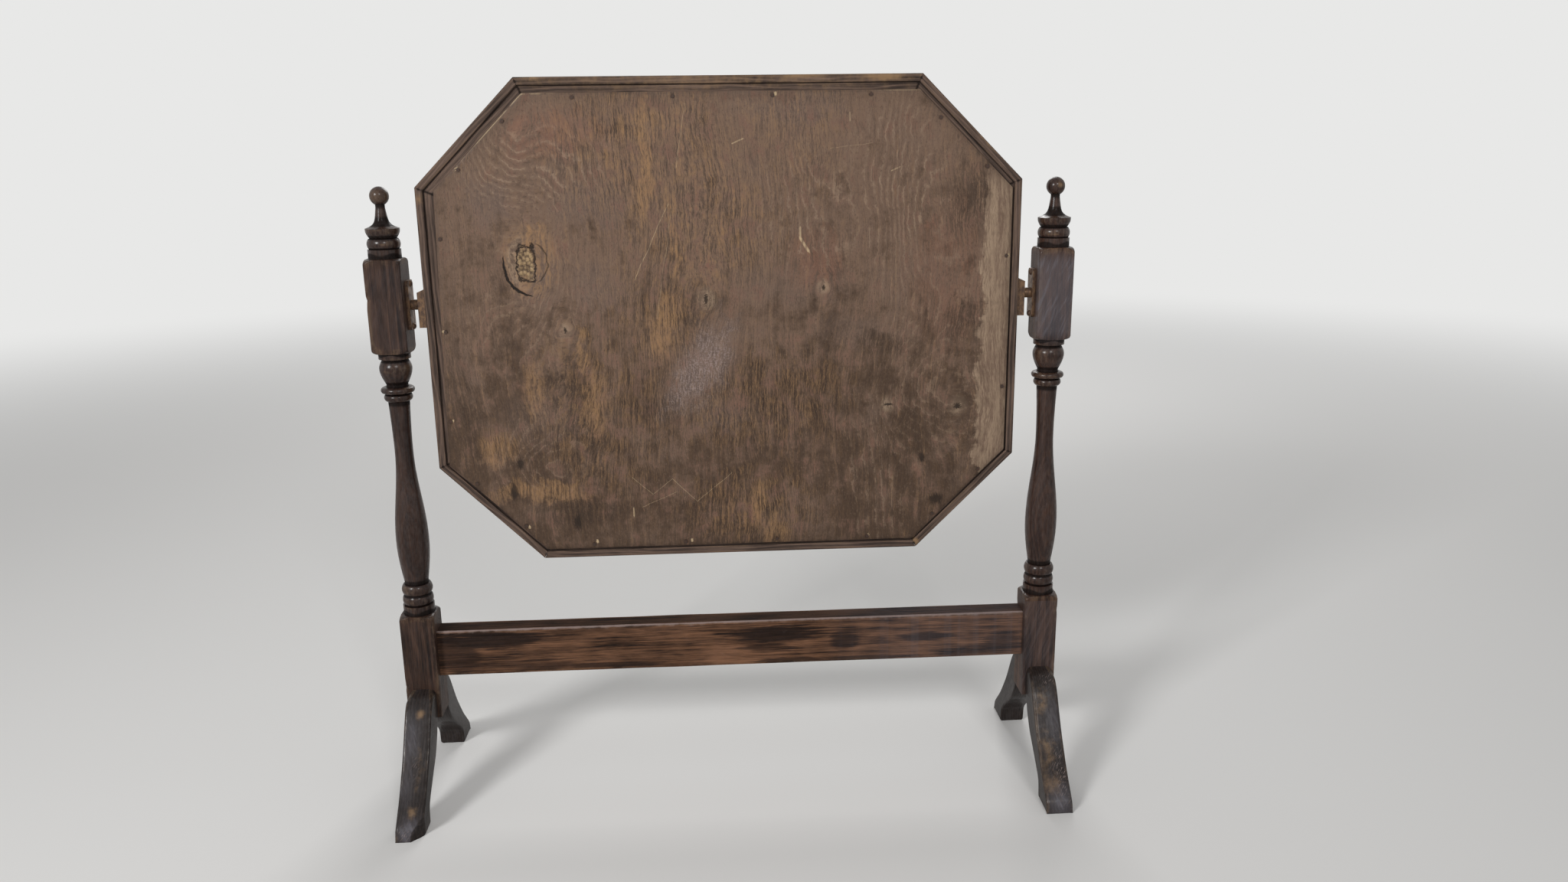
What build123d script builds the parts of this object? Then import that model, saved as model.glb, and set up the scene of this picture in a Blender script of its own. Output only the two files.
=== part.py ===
"""Dressing-table swing mirror: an octagonal framed glass that tilts between two turned posts.

The part stands on z = 0 with its middle over the origin. X runs along the stretcher
rail, the glass faces -Y and the nailed back board faces +Y. All sizes are millimetres.
"""
import os
from math import pi, radians, sin, sqrt, tan

from build123d import *

os.makedirs("parts", exist_ok=True)

# Fits shared by the whole piece
glue_gap = 0.05  # round a dowel, tenon, nail or screw in its hole
running_gap = 0.05  # round the pivot journal, and between washer and socket
overrun = 5  # how far a cut runs past the face it opens

# Stand
post_spacing = 580  # centre to centre
post_square = 31
post_corner_radius = 21.4  # lathe-rounded corners of the square blocks
post_bottom = 75  # the posts end this far above the table
lower_block_height = 101
upper_block_height = 82
shoulder_height = 5.5  # rounded pommel at the end of a square block

# Turned mouldings between the blocks, in the order they are met going up
base_collar_height = 8
base_collar_radius = 13.9
base_ring_height = 10
base_ring_radius = 13.7
base_ring_root = 11.9
vase_foot_radius = 10.2
vase_belly_radius = 14.4
vase_belly_rise = 41
vase_waist_radius = 7.9
vase_waist_rise = 84
shaft_rise = 46
shaft_top_radius = 9.2
astragal_height = 7.5
astragal_radius = 12.2
disc_height = 5.5
disc_radius = 14.4
disc_root = 12
neck_height = 2.5
neck_radius = 9.2
bulb_height = 21.5
bulb_radius = 13.9
bulb_top_radius = 11.1
quirk_height = 1.2
block_collar_height = 4.8
block_collar_radius = 13.7

# Finial above the upper block
top_collar_height = 7.5
top_collar_radius = 13.8
finial_bead_height = 9
finial_bead_radius = 13.9
finial_bead_root = 12.2
cup_height = 7.2
cup_root = 11
cup_belly_radius = 13.1  # halfway up the cup
rim_height = 1.4
rim_radius = 14.2
flare_height = 17.2
flare_taper = 2.6  # the neck's even taper, inside the flare
flare_power = 7  # how late the flare opens
flare_shares = (0, 0.04, 0.1, 0.2, 0.35, 0.6, 0.8, 1)
finial_neck_radius = 3.9
finial_neck_height = 2.5
ball_radius = 8

# Stretcher rail
rail_height = 44
rail_thickness = 22
rail_drop = 18.5  # its top edge below the top of the lower block
rail_set_forward = 3
rail_edge_round = 1.2
tenon_length = 18
tenon_thickness = 10
tenon_height = 30

# Feet
foot_thickness = 24
foot_projection = 86.5  # from the post's face to the tip of the toe
foot_head = 29  # height of the joint with the post
foot_edge_round = 2
foot_head_round = 6  # upper corners of the head
foot_back_shares = ((0.15, 0.96), (0.27, 0.86), (0.48, 0.57), (0.7, 0.335), (0.87, 0.19), (0.96, 0.115), (0.993, 0.06))
foot_heel_share = 0.665
foot_under_shares = ((0.63, 0.15), (0.42, 0.31), (0.2, 0.47))
chip_width = 11  # knocked off the toe of one foot
chip_length = 11
dowel_diameter = 6
dowel_length = 24
dowel_spacing = 11
dowel_cover = 4  # wood between the upper dowel and the back of the foot

# Mirror frame
swing_gap = 15.5  # between the frame's side and the post
frame_height = 421
frame_depth = 20
corner_cut = 88
mirror_hang = 23  # the frame's middle hangs this far below the pivots
pivot_forward = 4  # pivots forward of the posts' middle
frame_face = 28
frame_rim = 6.5
frame_ledge = 14.5  # carries the back board
frame_lip = 6  # in front of the glass
sight_round = 4
front_round = 3
arris = 0.8
mitre_pin_diameter = 2
mitre_pin_length = 22
mitre_pin_inset = 9

# Glass, its packing and the back board
glass_thickness = 4
glass_clearance = 1.5
bevel_width = 20
bevel_drop = 1.6
packing_length = 28
packing_width = 9
packing_pitch = 125
packing_gap = 0.2
board_thickness = 3
board_proud = 0.8  # stands out behind the frame's rim
margin_top = 13  # the frame's outer edge to the board's edge
margin_bottom = 9
margin_left = 8.5
margin_right_high = 16
margin_right_low = 9.5
margin_upper_left = 11
margin_upper_right = 13.5
margin_lower = 9
nail_inset = 3.5
nail_diameter = 1.4
nail_head_diameter = 3
nail_head_height = 0.5
nail_length = 9
nail_pitch = 95

# Swivel hardware
plate_thickness = 2.5
plate_height = 43
plate_width = 16
socket_thickness = 6.5
socket_width = 14
socket_above = 14
socket_below = 19.5
socket_slope = 3
pin_diameter = 9
journal_diameter = 6
washer_thickness = 0.8
screw_diameter = 3
screw_length = 12
screw_head_diameter = 6
screw_head_height = 2
screw_slot_width = 0.8
countersink_angle = 82
plate_screw_spacing = 37
socket_screw_spacing = 21.5
socket_screw_drop = 4  # middle of the socket's two screws below the pivot

# Heights of the turned work, running up the post
lower_block_top = post_bottom + lower_block_height
base_ring_bottom = lower_block_top + base_collar_height
vase_foot = base_ring_bottom + 2 * base_ring_height
vase_belly = vase_foot + vase_belly_rise
vase_waist = vase_belly + vase_waist_rise
shaft_top = vase_waist + shaft_rise
disc_bottom = shaft_top + astragal_height
neck_bottom = disc_bottom + disc_height
bulb_bottom = neck_bottom + neck_height
bulb_top = bulb_bottom + bulb_height
block_collar_bottom = bulb_top + quirk_height
upper_block_bottom = block_collar_bottom + block_collar_height
upper_block_top = upper_block_bottom + upper_block_height
finial_bead_bottom = upper_block_top + top_collar_height
cup_bottom = finial_bead_bottom + finial_bead_height
rim_bottom = cup_bottom + cup_height
flare_bottom = rim_bottom + rim_height
finial_neck_bottom = flare_bottom + flare_height
ball_seat = sqrt(ball_radius**2 - finial_neck_radius**2)
ball_middle = finial_neck_bottom + finial_neck_height + ball_seat
ball_top = ball_middle + ball_radius

# Places that the pieces share
post_x = post_spacing / 2
post_face = post_square / 2
post_inner = post_x - post_face
foot_top = post_bottom + foot_head
rail_top = lower_block_top - rail_drop
rail_middle = rail_top - rail_height / 2
rail_length = 2 * post_inner
pivot_height = (upper_block_bottom + upper_block_top) / 2
frame_half_width = post_inner - swing_gap
frame_back = frame_depth / 2 - pivot_forward
frame_middle = pivot_height - mirror_hang
frame_inner = frame_rim + frame_ledge
glass_rebate = frame_depth - frame_lip
board_seat = board_thickness - board_proud
sides = (("left", -1), ("right", 1))
faces = (("front", -1), ("rear", 1))


def radial_plane(origin, axis, radial):
    """Sketch plane for a turned piece: local x is the radius and local y runs along its axis."""
    return Plane(origin=origin, x_dir=radial, z_dir=Vector(*radial).cross(Vector(*axis)))


def bead(root, bottom, crown, height):
    """Half-round moulding that leaves the root radius and comes back to it."""
    ThreePointArc((root, bottom), (crown, bottom + height / 2), (root, bottom + height))


def shoulder(outer, end, inner, top):
    """Quarter-elliptical pommel from a block's corner at height end to its collar at height top."""
    EllipticalCenterArc((inner, end), outer - inner, abs(top - end), 0 if top > end else 270, arc_size=90)


def flare_radius(share):
    """Radius of the finial's flare, a share of the way from its rim to its neck."""
    opening = rim_radius - finial_neck_radius - flare_taper
    return finial_neck_radius + flare_taper * (1 - share) + opening * (1 - share) ** flare_power


def dowel_planes(side):
    """Dowels stand square in the post's front and rear faces, two to a foot, half in each."""
    upper = foot_back_shares[0][1] * foot_top - dowel_cover - dowel_diameter / 2
    return [
        Plane(origin=(side * post_x, face * post_face, height), z_dir=(0, face, 0))
        for _, face in faces
        for height in (upper - dowel_spacing, upper)
    ]


def plate_screw_places(side):
    """Where the post plate's screws enter, on the face of the plate."""
    x = side * (post_inner - plate_thickness)
    return [(x, -pivot_forward, pivot_height + step * plate_screw_spacing / 2) for step in (-1, 1)]


def socket_screw_places(side):
    """Where the frame socket's screws enter, on the face of the socket."""
    x = side * (frame_half_width + socket_thickness)
    middle = pivot_height - socket_screw_drop
    return [(x, -pivot_forward, middle + step * socket_screw_spacing / 2) for step in (-1, 1)]


# Turned posts, one piece each from the lower block to the ball
with BuildPart() as left_post:
    with BuildSketch(Plane(origin=(-post_x, 0, 0), x_dir=(1, 0, 0), z_dir=(0, -1, 0))):
        with BuildLine():
            Polyline(
                (0, post_bottom),
                (post_corner_radius, post_bottom),
                (post_corner_radius, lower_block_top - shoulder_height),
            )
            shoulder(post_corner_radius, lower_block_top - shoulder_height, base_collar_radius, lower_block_top)
            Polyline(
                (base_collar_radius, lower_block_top),
                (base_collar_radius, base_ring_bottom),
                (base_ring_root, base_ring_bottom),
            )
            bead(base_ring_root, base_ring_bottom, base_ring_radius, base_ring_height)
            bead(base_ring_root, base_ring_bottom + base_ring_height, base_ring_radius, base_ring_height)
            Line((base_ring_root, vase_foot), (vase_foot_radius, vase_foot))
            Spline(
                (vase_foot_radius, vase_foot),
                (vase_belly_radius, vase_belly),
                (vase_waist_radius, vase_waist),
                (shaft_top_radius, shaft_top),
            )
            bead(shaft_top_radius, shaft_top, astragal_radius, astragal_height)
            Line((shaft_top_radius, disc_bottom), (disc_root, disc_bottom))
            bead(disc_root, disc_bottom, disc_radius, disc_height)
            Polyline((disc_root, neck_bottom), (neck_radius, neck_bottom), (neck_radius, bulb_bottom))
            ThreePointArc(
                (neck_radius, bulb_bottom),
                (bulb_radius, (bulb_bottom + 2 * bulb_top) / 3),
                (bulb_top_radius, bulb_top),
            )
            Polyline(
                (bulb_top_radius, bulb_top),
                (bulb_top_radius, block_collar_bottom),
                (block_collar_radius, block_collar_bottom),
                (block_collar_radius, upper_block_bottom),
            )
            shoulder(
                post_corner_radius, upper_block_bottom + shoulder_height, block_collar_radius, upper_block_bottom
            )
            Line(
                (post_corner_radius, upper_block_bottom + shoulder_height),
                (post_corner_radius, upper_block_top - shoulder_height),
            )
            shoulder(post_corner_radius, upper_block_top - shoulder_height, top_collar_radius, upper_block_top)
            Polyline(
                (top_collar_radius, upper_block_top),
                (top_collar_radius, finial_bead_bottom),
                (finial_bead_root, finial_bead_bottom),
            )
            bead(finial_bead_root, finial_bead_bottom, finial_bead_radius, finial_bead_height)
            Line((finial_bead_root, cup_bottom), (cup_root, cup_bottom))
            ThreePointArc(
                (cup_root, cup_bottom), (cup_belly_radius, (cup_bottom + rim_bottom) / 2), (rim_radius, rim_bottom)
            )
            Line((rim_radius, rim_bottom), (rim_radius, flare_bottom))
            Spline(*[(flare_radius(share), flare_bottom + share * flare_height) for share in flare_shares])
            Line((finial_neck_radius, finial_neck_bottom), (finial_neck_radius, ball_middle - ball_seat))
            ThreePointArc(
                (finial_neck_radius, ball_middle - ball_seat), (ball_radius, ball_middle), (0, ball_top)
            )
            Line((0, ball_top), (0, post_bottom))
        make_face()
    revolve(axis=Axis((-post_x, 0, 0), (0, 0, 1)))
    with Locations((-post_x, 0, ball_top / 2)):
        Box(post_square, post_square, ball_top, mode=Mode.INTERSECT)
    with Locations((-post_inner - tenon_length / 2, -rail_set_forward, rail_middle)):
        Box(
            tenon_length + 2 * glue_gap,
            tenon_thickness + 2 * glue_gap,
            tenon_height + 2 * glue_gap,
            mode=Mode.SUBTRACT,
        )
    with Locations(dowel_planes(-1)):
        Cylinder(dowel_diameter / 2 + glue_gap, dowel_length + 2 * glue_gap, mode=Mode.SUBTRACT)
    with Locations([Plane(origin=place, z_dir=(-1, 0, 0)) for place in plate_screw_places(-1)]):
        Cylinder(
            screw_diameter / 2 + glue_gap,
            screw_length + glue_gap,
            align=(Align.CENTER, Align.CENTER, Align.MIN),
            mode=Mode.SUBTRACT,
        )
left_post.part.label = "left_post"
export_step(left_post.part, "parts/left_post.step")

with BuildPart() as right_post:
    mirror(left_post.part, about=Plane.YZ)
right_post.part.label = "right_post"
export_step(right_post.part, "parts/right_post.step")

# Stretcher rail, tenoned into both posts
with BuildPart() as stretcher_rail:
    with Locations((0, -rail_set_forward, rail_middle)):
        Box(rail_length, rail_thickness, rail_height)
        fillet(stretcher_rail.edges().filter_by(Axis.X), rail_edge_round)
        Box(rail_length + 2 * tenon_length, tenon_thickness, tenon_height)
stretcher_rail.part.label = "stretcher_rail"
export_step(stretcher_rail.part, "parts/stretcher_rail.step")

# Splayed feet, sawn to a curved outline and dowelled to the posts
for side_name, side in sides:
    for face_name, face in faces:
        foot_plane = Plane(
            origin=(side * post_x, face * post_face, 0), x_dir=(0, face, 0), z_dir=(face, 0, 0)
        )
        back_points = [(x * foot_projection, z * foot_top) for x, z in foot_back_shares]
        under_points = [(x * foot_projection, z * foot_top) for x, z in foot_under_shares]
        heel = (foot_heel_share * foot_projection, 0)
        with BuildPart() as foot:
            with BuildSketch(foot_plane):
                with BuildLine():
                    Spline((0, foot_top), *back_points, (foot_projection, 0))
                    Polyline((foot_projection, 0), heel, under_points[0])
                    Spline(*under_points, (0, post_bottom))
                    Line((0, post_bottom), (0, foot_top))
                make_face()
            extrude(amount=foot_thickness / 2, both=True)
            fillet(foot.edges().sort_by(SortBy.LENGTH)[-2:], foot_edge_round)
            with BuildSketch(Plane(foot_plane.origin, x_dir=(-face, 0, 0), z_dir=(0, face, 0))) as head:
                with Locations((0, foot_top / 2)):
                    Rectangle(foot_thickness, foot_top)
                fillet(head.vertices().group_by(Axis.Y)[-1], foot_head_round)
            extrude(amount=foot_projection, mode=Mode.INTERSECT)
            with Locations(dowel_planes(side)):
                Cylinder(dowel_diameter / 2 + glue_gap, dowel_length + 2 * glue_gap, mode=Mode.SUBTRACT)
            if (side_name, face_name) == ("right", "rear"):
                inner_side = side * (post_x - foot_thickness / 2)
                toe_tip = face * (post_face + foot_projection)
                with BuildSketch(Plane.XY.offset(-overrun)):
                    with BuildLine():
                        Polyline(
                            (inner_side - side * overrun, toe_tip + face * overrun),
                            (inner_side - side * overrun, toe_tip - face * (chip_length + overrun)),
                            (inner_side + side * (chip_width + overrun), toe_tip + face * overrun),
                            close=True,
                        )
                    make_face()
                extrude(amount=foot_top, mode=Mode.SUBTRACT)
        foot_name = f"{side_name}_{face_name}_foot"
        foot.part.label = foot_name
        export_step(foot.part, f"parts/{foot_name}.step")

with BuildPart() as foot_dowels:
    with Locations(dowel_planes(-1) + dowel_planes(1)):
        Cylinder(dowel_diameter / 2, dowel_length)
foot_dowels.part.label = "foot_dowels"
export_step(foot_dowels.part, "parts/foot_dowels.step")

# Octagon corners of the frame, clockwise seen from the glass side, each edge named for its member
frame_half_height = frame_height / 2
cut_x = frame_half_width - corner_cut
cut_z = frame_half_height - corner_cut
corner_offsets = (
    (-cut_x, frame_half_height),
    (cut_x, frame_half_height),
    (frame_half_width, cut_z),
    (frame_half_width, -cut_z),
    (cut_x, -frame_half_height),
    (-cut_x, -frame_half_height),
    (-frame_half_width, -cut_z),
    (-frame_half_width, cut_z),
)
frame_corners = [Vector(x, frame_back, frame_middle + z) for x, z in corner_offsets]
frame_members = (
    "frame_top_rail",
    "frame_upper_right_corner",
    "frame_right_stile",
    "frame_lower_right_corner",
    "frame_bottom_rail",
    "frame_lower_left_corner",
    "frame_left_stile",
    "frame_upper_left_corner",
)
board_margins = (
    (margin_top, margin_top),
    (margin_upper_right, margin_upper_right),
    (margin_right_high, margin_right_low),
    (margin_lower, margin_lower),
    (margin_bottom, margin_bottom),
    (margin_lower, margin_lower),
    (margin_left, margin_left),
    (margin_upper_left, margin_upper_left),
)
member_count = len(frame_members)
member_ends = [(frame_corners[i], frame_corners[(i + 1) % member_count]) for i in range(member_count)]
member_runs = [(end - start).normalized() for start, end in member_ends]
member_inward = [Vector(0, 1, 0).cross(run) for run in member_runs]
half_mitre = radians(180 - 360 / member_count) / 2


def inset_corners(margins):
    """Corners of an octagon whose edges lie the given margins inside the frame's edges."""
    edges = []
    for (start, end), inward, (first, last) in zip(member_ends, member_inward, margins):
        edges.append((start + inward * first, end + inward * last))
    corners = []
    for i, (start, end) in enumerate(edges):
        before_start, before_end = edges[i - 1]
        run, before = end - start, before_end - before_start
        gap = start - before_start
        share = (gap.X * run.Z - gap.Z * run.X) / (before.X * run.Z - before.Z * run.X)
        corners.append(before_start + before * share)
    return corners


def even_inset(margin):
    """Octagon the same margin inside every edge of the frame, as points for an XZ sketch."""
    return [(corner.X, corner.Z) for corner in inset_corners([(margin, margin)] * member_count)]


# One plane on each mitre, its normal along the way round the frame
mitre_planes = [
    Plane(origin=frame_corners[i], z_dir=member_runs[i - 1] + member_runs[i]) for i in range(member_count)
]
pin_depth = (board_seat + glass_rebate) / 2
mitre_pin_planes = [
    Plane(
        origin=plane.origin
        + (member_inward[i - 1] + member_inward[i]).normalized() * (mitre_pin_inset / sin(half_mitre))
        - Vector(0, pin_depth, 0),
        z_dir=plane.z_dir,
    )
    for i, plane in enumerate(mitre_planes)
]

# Nails along each edge of the board, evenly spaced, driven from behind into the frame's ledge
board_corners = inset_corners(board_margins)
board_face = frame_back + board_proud
nail_planes = []
for i, inward in enumerate(member_inward):
    start, end = board_corners[i], board_corners[(i + 1) % member_count]
    count = max(2, round((end - start).length / nail_pitch))
    for step in range(count):
        share = (2 * step + 1) / (2 * count)
        place = start + (end - start) * share + inward * nail_inset
        nail_planes.append(Plane(origin=(place.X, board_face, place.Z), z_dir=(0, -1, 0)))

# Frame members: one rebated section, mitred to its neighbours
for i, member_name in enumerate(frame_members):
    start, end = member_ends[i]
    section = Plane(origin=(start + end) / 2, x_dir=member_inward[i], z_dir=member_runs[i])
    with BuildPart() as member:
        with BuildSketch(section):
            with BuildLine():
                Polyline(
                    (0, -arris),
                    (arris, 0),
                    (frame_rim, 0),
                    (frame_rim, -board_seat),
                    (frame_inner, -board_seat),
                    (frame_inner, -glass_rebate),
                    (frame_face, -glass_rebate),
                    (frame_face, sight_round - frame_depth),
                )
                RadiusArc(
                    (frame_face, sight_round - frame_depth), (frame_face - sight_round, -frame_depth), sight_round
                )
                Line((frame_face - sight_round, -frame_depth), (front_round, -frame_depth))
                RadiusArc((front_round, -frame_depth), (0, front_round - frame_depth), front_round)
                Line((0, front_round - frame_depth), (0, -arris))
            make_face()
        extrude(amount=(end - start).length / 2 + frame_face, both=True)
        split(bisect_by=mitre_planes[i], keep=Keep.TOP)
        split(bisect_by=mitre_planes[(i + 1) % member_count], keep=Keep.BOTTOM)
        with Locations(mitre_pin_planes):
            Cylinder(
                mitre_pin_diameter / 2 + glue_gap, mitre_pin_length + 2 * glue_gap, mode=Mode.SUBTRACT
            )
        with Locations(nail_planes):
            Cylinder(
                nail_diameter / 2 + glue_gap,
                nail_length + glue_gap,
                align=(Align.CENTER, Align.CENTER, Align.MIN),
                mode=Mode.SUBTRACT,
            )
        for _, side in sides:
            with Locations([Plane(origin=place, z_dir=(-side, 0, 0)) for place in socket_screw_places(side)]):
                Cylinder(
                    screw_diameter / 2 + glue_gap,
                    screw_length + socket_thickness + glue_gap,
                    align=(Align.CENTER, Align.CENTER, Align.MIN),
                    mode=Mode.SUBTRACT,
                )
    member.part.label = member_name
    export_step(member.part, f"parts/{member_name}.step")

with BuildPart() as mitre_pins:
    with Locations(mitre_pin_planes):
        Cylinder(mitre_pin_diameter / 2, mitre_pin_length)
mitre_pins.part.label = "mitre_pins"
export_step(mitre_pins.part, "parts/mitre_pins.step")

# Bevelled glass: its bevel bears on the sight edge of the frame's lip
glass_edge = frame_inner + glass_clearance
lip_overlap = frame_face - glass_edge
sight_drop = bevel_drop * (1 - lip_overlap / bevel_width)
glass_front = frame_back - glass_rebate - sight_drop + glue_gap
glass_back = glass_front + glass_thickness
with BuildPart() as mirror_glass:
    with BuildSketch(Plane.XZ.offset(-glass_back)):
        Polygon(*even_inset(glass_edge), align=None)
    extrude(amount=glass_thickness - bevel_drop)
    with BuildSketch(Plane.XZ.offset(-glass_back + glass_thickness - bevel_drop)):
        Polygon(*even_inset(glass_edge), align=None)
    with BuildSketch(Plane.XZ.offset(-glass_front)):
        Polygon(*even_inset(glass_edge + bevel_width), align=None)
    loft(ruled=True)
mirror_glass.part.label = "mirror_glass"
export_step(mirror_glass.part, "parts/mirror_glass.step")

# Packing blocks hold the glass against the lip, under the back board
packing_height = frame_back - board_seat - glass_back - 2 * packing_gap
packing_seat = glass_back + packing_gap
with BuildPart() as glass_packing_blocks:
    for (start, end), inward, run in zip(member_ends, member_inward, member_runs):
        spans = round((end - start).length / packing_pitch)
        for step in range(spans):
            share = (2 * step + 1) / (2 * spans)
            corner = start + (end - start) * share + inward * (frame_inner + packing_gap)
            seat = Plane(origin=(corner.X, packing_seat, corner.Z), x_dir=run, z_dir=(0, 1, 0))
            with BuildSketch(seat):
                Rectangle(packing_length, packing_width, align=(Align.CENTER, Align.MIN))
            extrude(amount=packing_height)
glass_packing_blocks.part.label = "glass_packing_blocks"
export_step(glass_packing_blocks.part, "parts/glass_packing_blocks.step")

# Plywood back board, cut a little small and set low in its rebate
with BuildPart() as back_board:
    with BuildSketch(Plane.XZ.offset(-board_face)):
        Polygon(*[(corner.X, corner.Z) for corner in board_corners], align=None)
    extrude(amount=board_thickness)
    with Locations(nail_planes):
        Cylinder(
            nail_diameter / 2 + glue_gap,
            nail_length,
            align=(Align.CENTER, Align.CENTER, Align.MIN),
            mode=Mode.SUBTRACT,
        )
back_board.part.label = "back_board"
export_step(back_board.part, "parts/back_board.step")

with BuildPart() as back_board_nails:
    with Locations(nail_planes):
        Cylinder(nail_diameter / 2, nail_length, align=(Align.CENTER, Align.CENTER, Align.MIN))
        Cylinder(nail_head_diameter / 2, nail_head_height, align=(Align.CENTER, Align.CENTER, Align.MAX))
back_board_nails.part.label = "back_board_nails"
export_step(back_board_nails.part, "parts/back_board_nails.step")

# Swivel hardware on each side: plate, pin and washer stay with the post, the socket with the frame
washer_face = frame_half_width + socket_thickness + running_gap
pin_shoulder = washer_face + washer_thickness
plate_face = post_inner - plate_thickness
journal_end = frame_half_width + running_gap
for side_name, side in sides:
    toward_post = (side, 0, 0)
    pivot_axis = Plane(origin=(0, -pivot_forward, pivot_height), z_dir=toward_post)

    with BuildPart() as post_plate:
        with BuildSketch(pivot_axis.offset(plate_face)):
            RectangleRounded(plate_height, plate_width, plate_width / 4)
            Circle(journal_diameter / 2 + glue_gap, mode=Mode.SUBTRACT)
            with GridLocations(plate_screw_spacing, plate_width, 2, 1):
                Circle(screw_diameter / 2 + glue_gap, mode=Mode.SUBTRACT)
        extrude(amount=plate_thickness)
    plate_name = f"{side_name}_post_plate"
    post_plate.part.label = plate_name
    export_step(post_plate.part, f"parts/{plate_name}.step")

    with BuildPart() as pivot_pin:
        with BuildSketch(pivot_axis.offset(journal_end)):
            Circle(journal_diameter / 2)
        extrude(amount=post_inner - journal_end)
        with BuildSketch(pivot_axis.offset(pin_shoulder)):
            Circle(pin_diameter / 2)
        extrude(amount=plate_face - pin_shoulder)
    pin_name = f"{side_name}_pivot_pin"
    pivot_pin.part.label = pin_name
    export_step(pivot_pin.part, f"parts/{pin_name}.step")

    with BuildPart() as friction_washer:
        with BuildSketch(pivot_axis.offset(washer_face)):
            Circle(pin_diameter / 2)
            Circle(journal_diameter / 2 + glue_gap, mode=Mode.SUBTRACT)
        extrude(amount=washer_thickness)
    washer_name = f"{side_name}_friction_washer"
    friction_washer.part.label = washer_name
    export_step(friction_washer.part, f"parts/{washer_name}.step")

    with BuildPart() as frame_socket:
        with BuildSketch(Plane(origin=(0, -pivot_forward, pivot_height), x_dir=(1, 0, 0), z_dir=(0, -1, 0))):
            with BuildLine():
                Polyline(
                    (side * frame_half_width, -socket_below),
                    (side * (frame_half_width + socket_thickness), -socket_below),
                    (side * (frame_half_width + socket_thickness), socket_above - socket_slope),
                    (side * frame_half_width, socket_above),
                    close=True,
                )
            make_face()
        extrude(amount=socket_width / 2, both=True)
        with BuildSketch(pivot_axis.offset(frame_half_width - overrun)):
            Circle(journal_diameter / 2 + running_gap)
        extrude(amount=socket_thickness + 2 * overrun, mode=Mode.SUBTRACT)
        with Locations([Plane(origin=place, z_dir=toward_post) for place in socket_screw_places(side)]):
            CounterSinkHole(
                screw_diameter / 2 + glue_gap,
                screw_head_diameter / 2 + glue_gap,
                socket_thickness,
                counter_sink_angle=countersink_angle,
            )
    socket_name = f"{side_name}_frame_socket"
    frame_socket.part.label = socket_name
    export_step(frame_socket.part, f"parts/{socket_name}.step")

# Round-headed screws through the post plates, slotted
with BuildPart() as post_plate_screws:
    for _, side in sides:
        for place in plate_screw_places(side):
            with BuildSketch(radial_plane(place, (side, 0, 0), (0, 1, 0))):
                with BuildLine():
                    Polyline(
                        (0, -screw_head_height),
                        (0, screw_length),
                        (screw_diameter / 2, screw_length - screw_diameter / 2),
                        (screw_diameter / 2, 0),
                        (screw_head_diameter / 2, 0),
                    )
                    ThreePointArc(
                        (screw_head_diameter / 2, 0),
                        (screw_head_diameter / 2 * sin(pi / 4), -screw_head_height * sin(pi / 4)),
                        (0, -screw_head_height),
                    )
                make_face()
            revolve(axis=Axis(place, (side, 0, 0)))
            with Locations(place):
                Box(screw_head_height, screw_slot_width, screw_head_diameter, mode=Mode.SUBTRACT)
post_plate_screws.part.label = "post_plate_screws"
export_step(post_plate_screws.part, "parts/post_plate_screws.step")

# Countersunk screws that hold the sockets to the frame
countersink_depth = (screw_head_diameter - screw_diameter) / 2 / tan(radians(countersink_angle / 2))
with BuildPart() as frame_socket_screws:
    for _, side in sides:
        for place in socket_screw_places(side):
            with BuildSketch(radial_plane(place, (-side, 0, 0), (0, 1, 0))):
                with BuildLine():
                    Polyline(
                        (0, glue_gap),
                        (screw_head_diameter / 2 - glue_gap, glue_gap),
                        (screw_diameter / 2, countersink_depth),
                        (screw_diameter / 2, socket_thickness + screw_length - screw_diameter),
                        (0, socket_thickness + screw_length - screw_diameter / 2),
                        close=True,
                    )
                make_face()
            revolve(axis=Axis(place, (-side, 0, 0)))
frame_socket_screws.part.label = "frame_socket_screws"
export_step(frame_socket_screws.part, "parts/frame_socket_screws.step")
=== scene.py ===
"""Looks of an old oak swing mirror for a dressing table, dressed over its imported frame.

The posts, rail, feet, frame lengths and back board are new surfaces, worked out with numpy in
the places that the frame gives. The glass, swivels, screws and hidden pieces keep their own
meshes and get finishes. Places are metres in the frame: X along the rail, the glass faces -Y.
"""
from collections import namedtuple
from functools import reduce
from math import cos, pi, radians, sin, sqrt, tan

import bpy
import numpy as np
from bpy.props import FloatProperty, FloatVectorProperty, PointerProperty
from mathutils import Matrix, Vector


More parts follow.
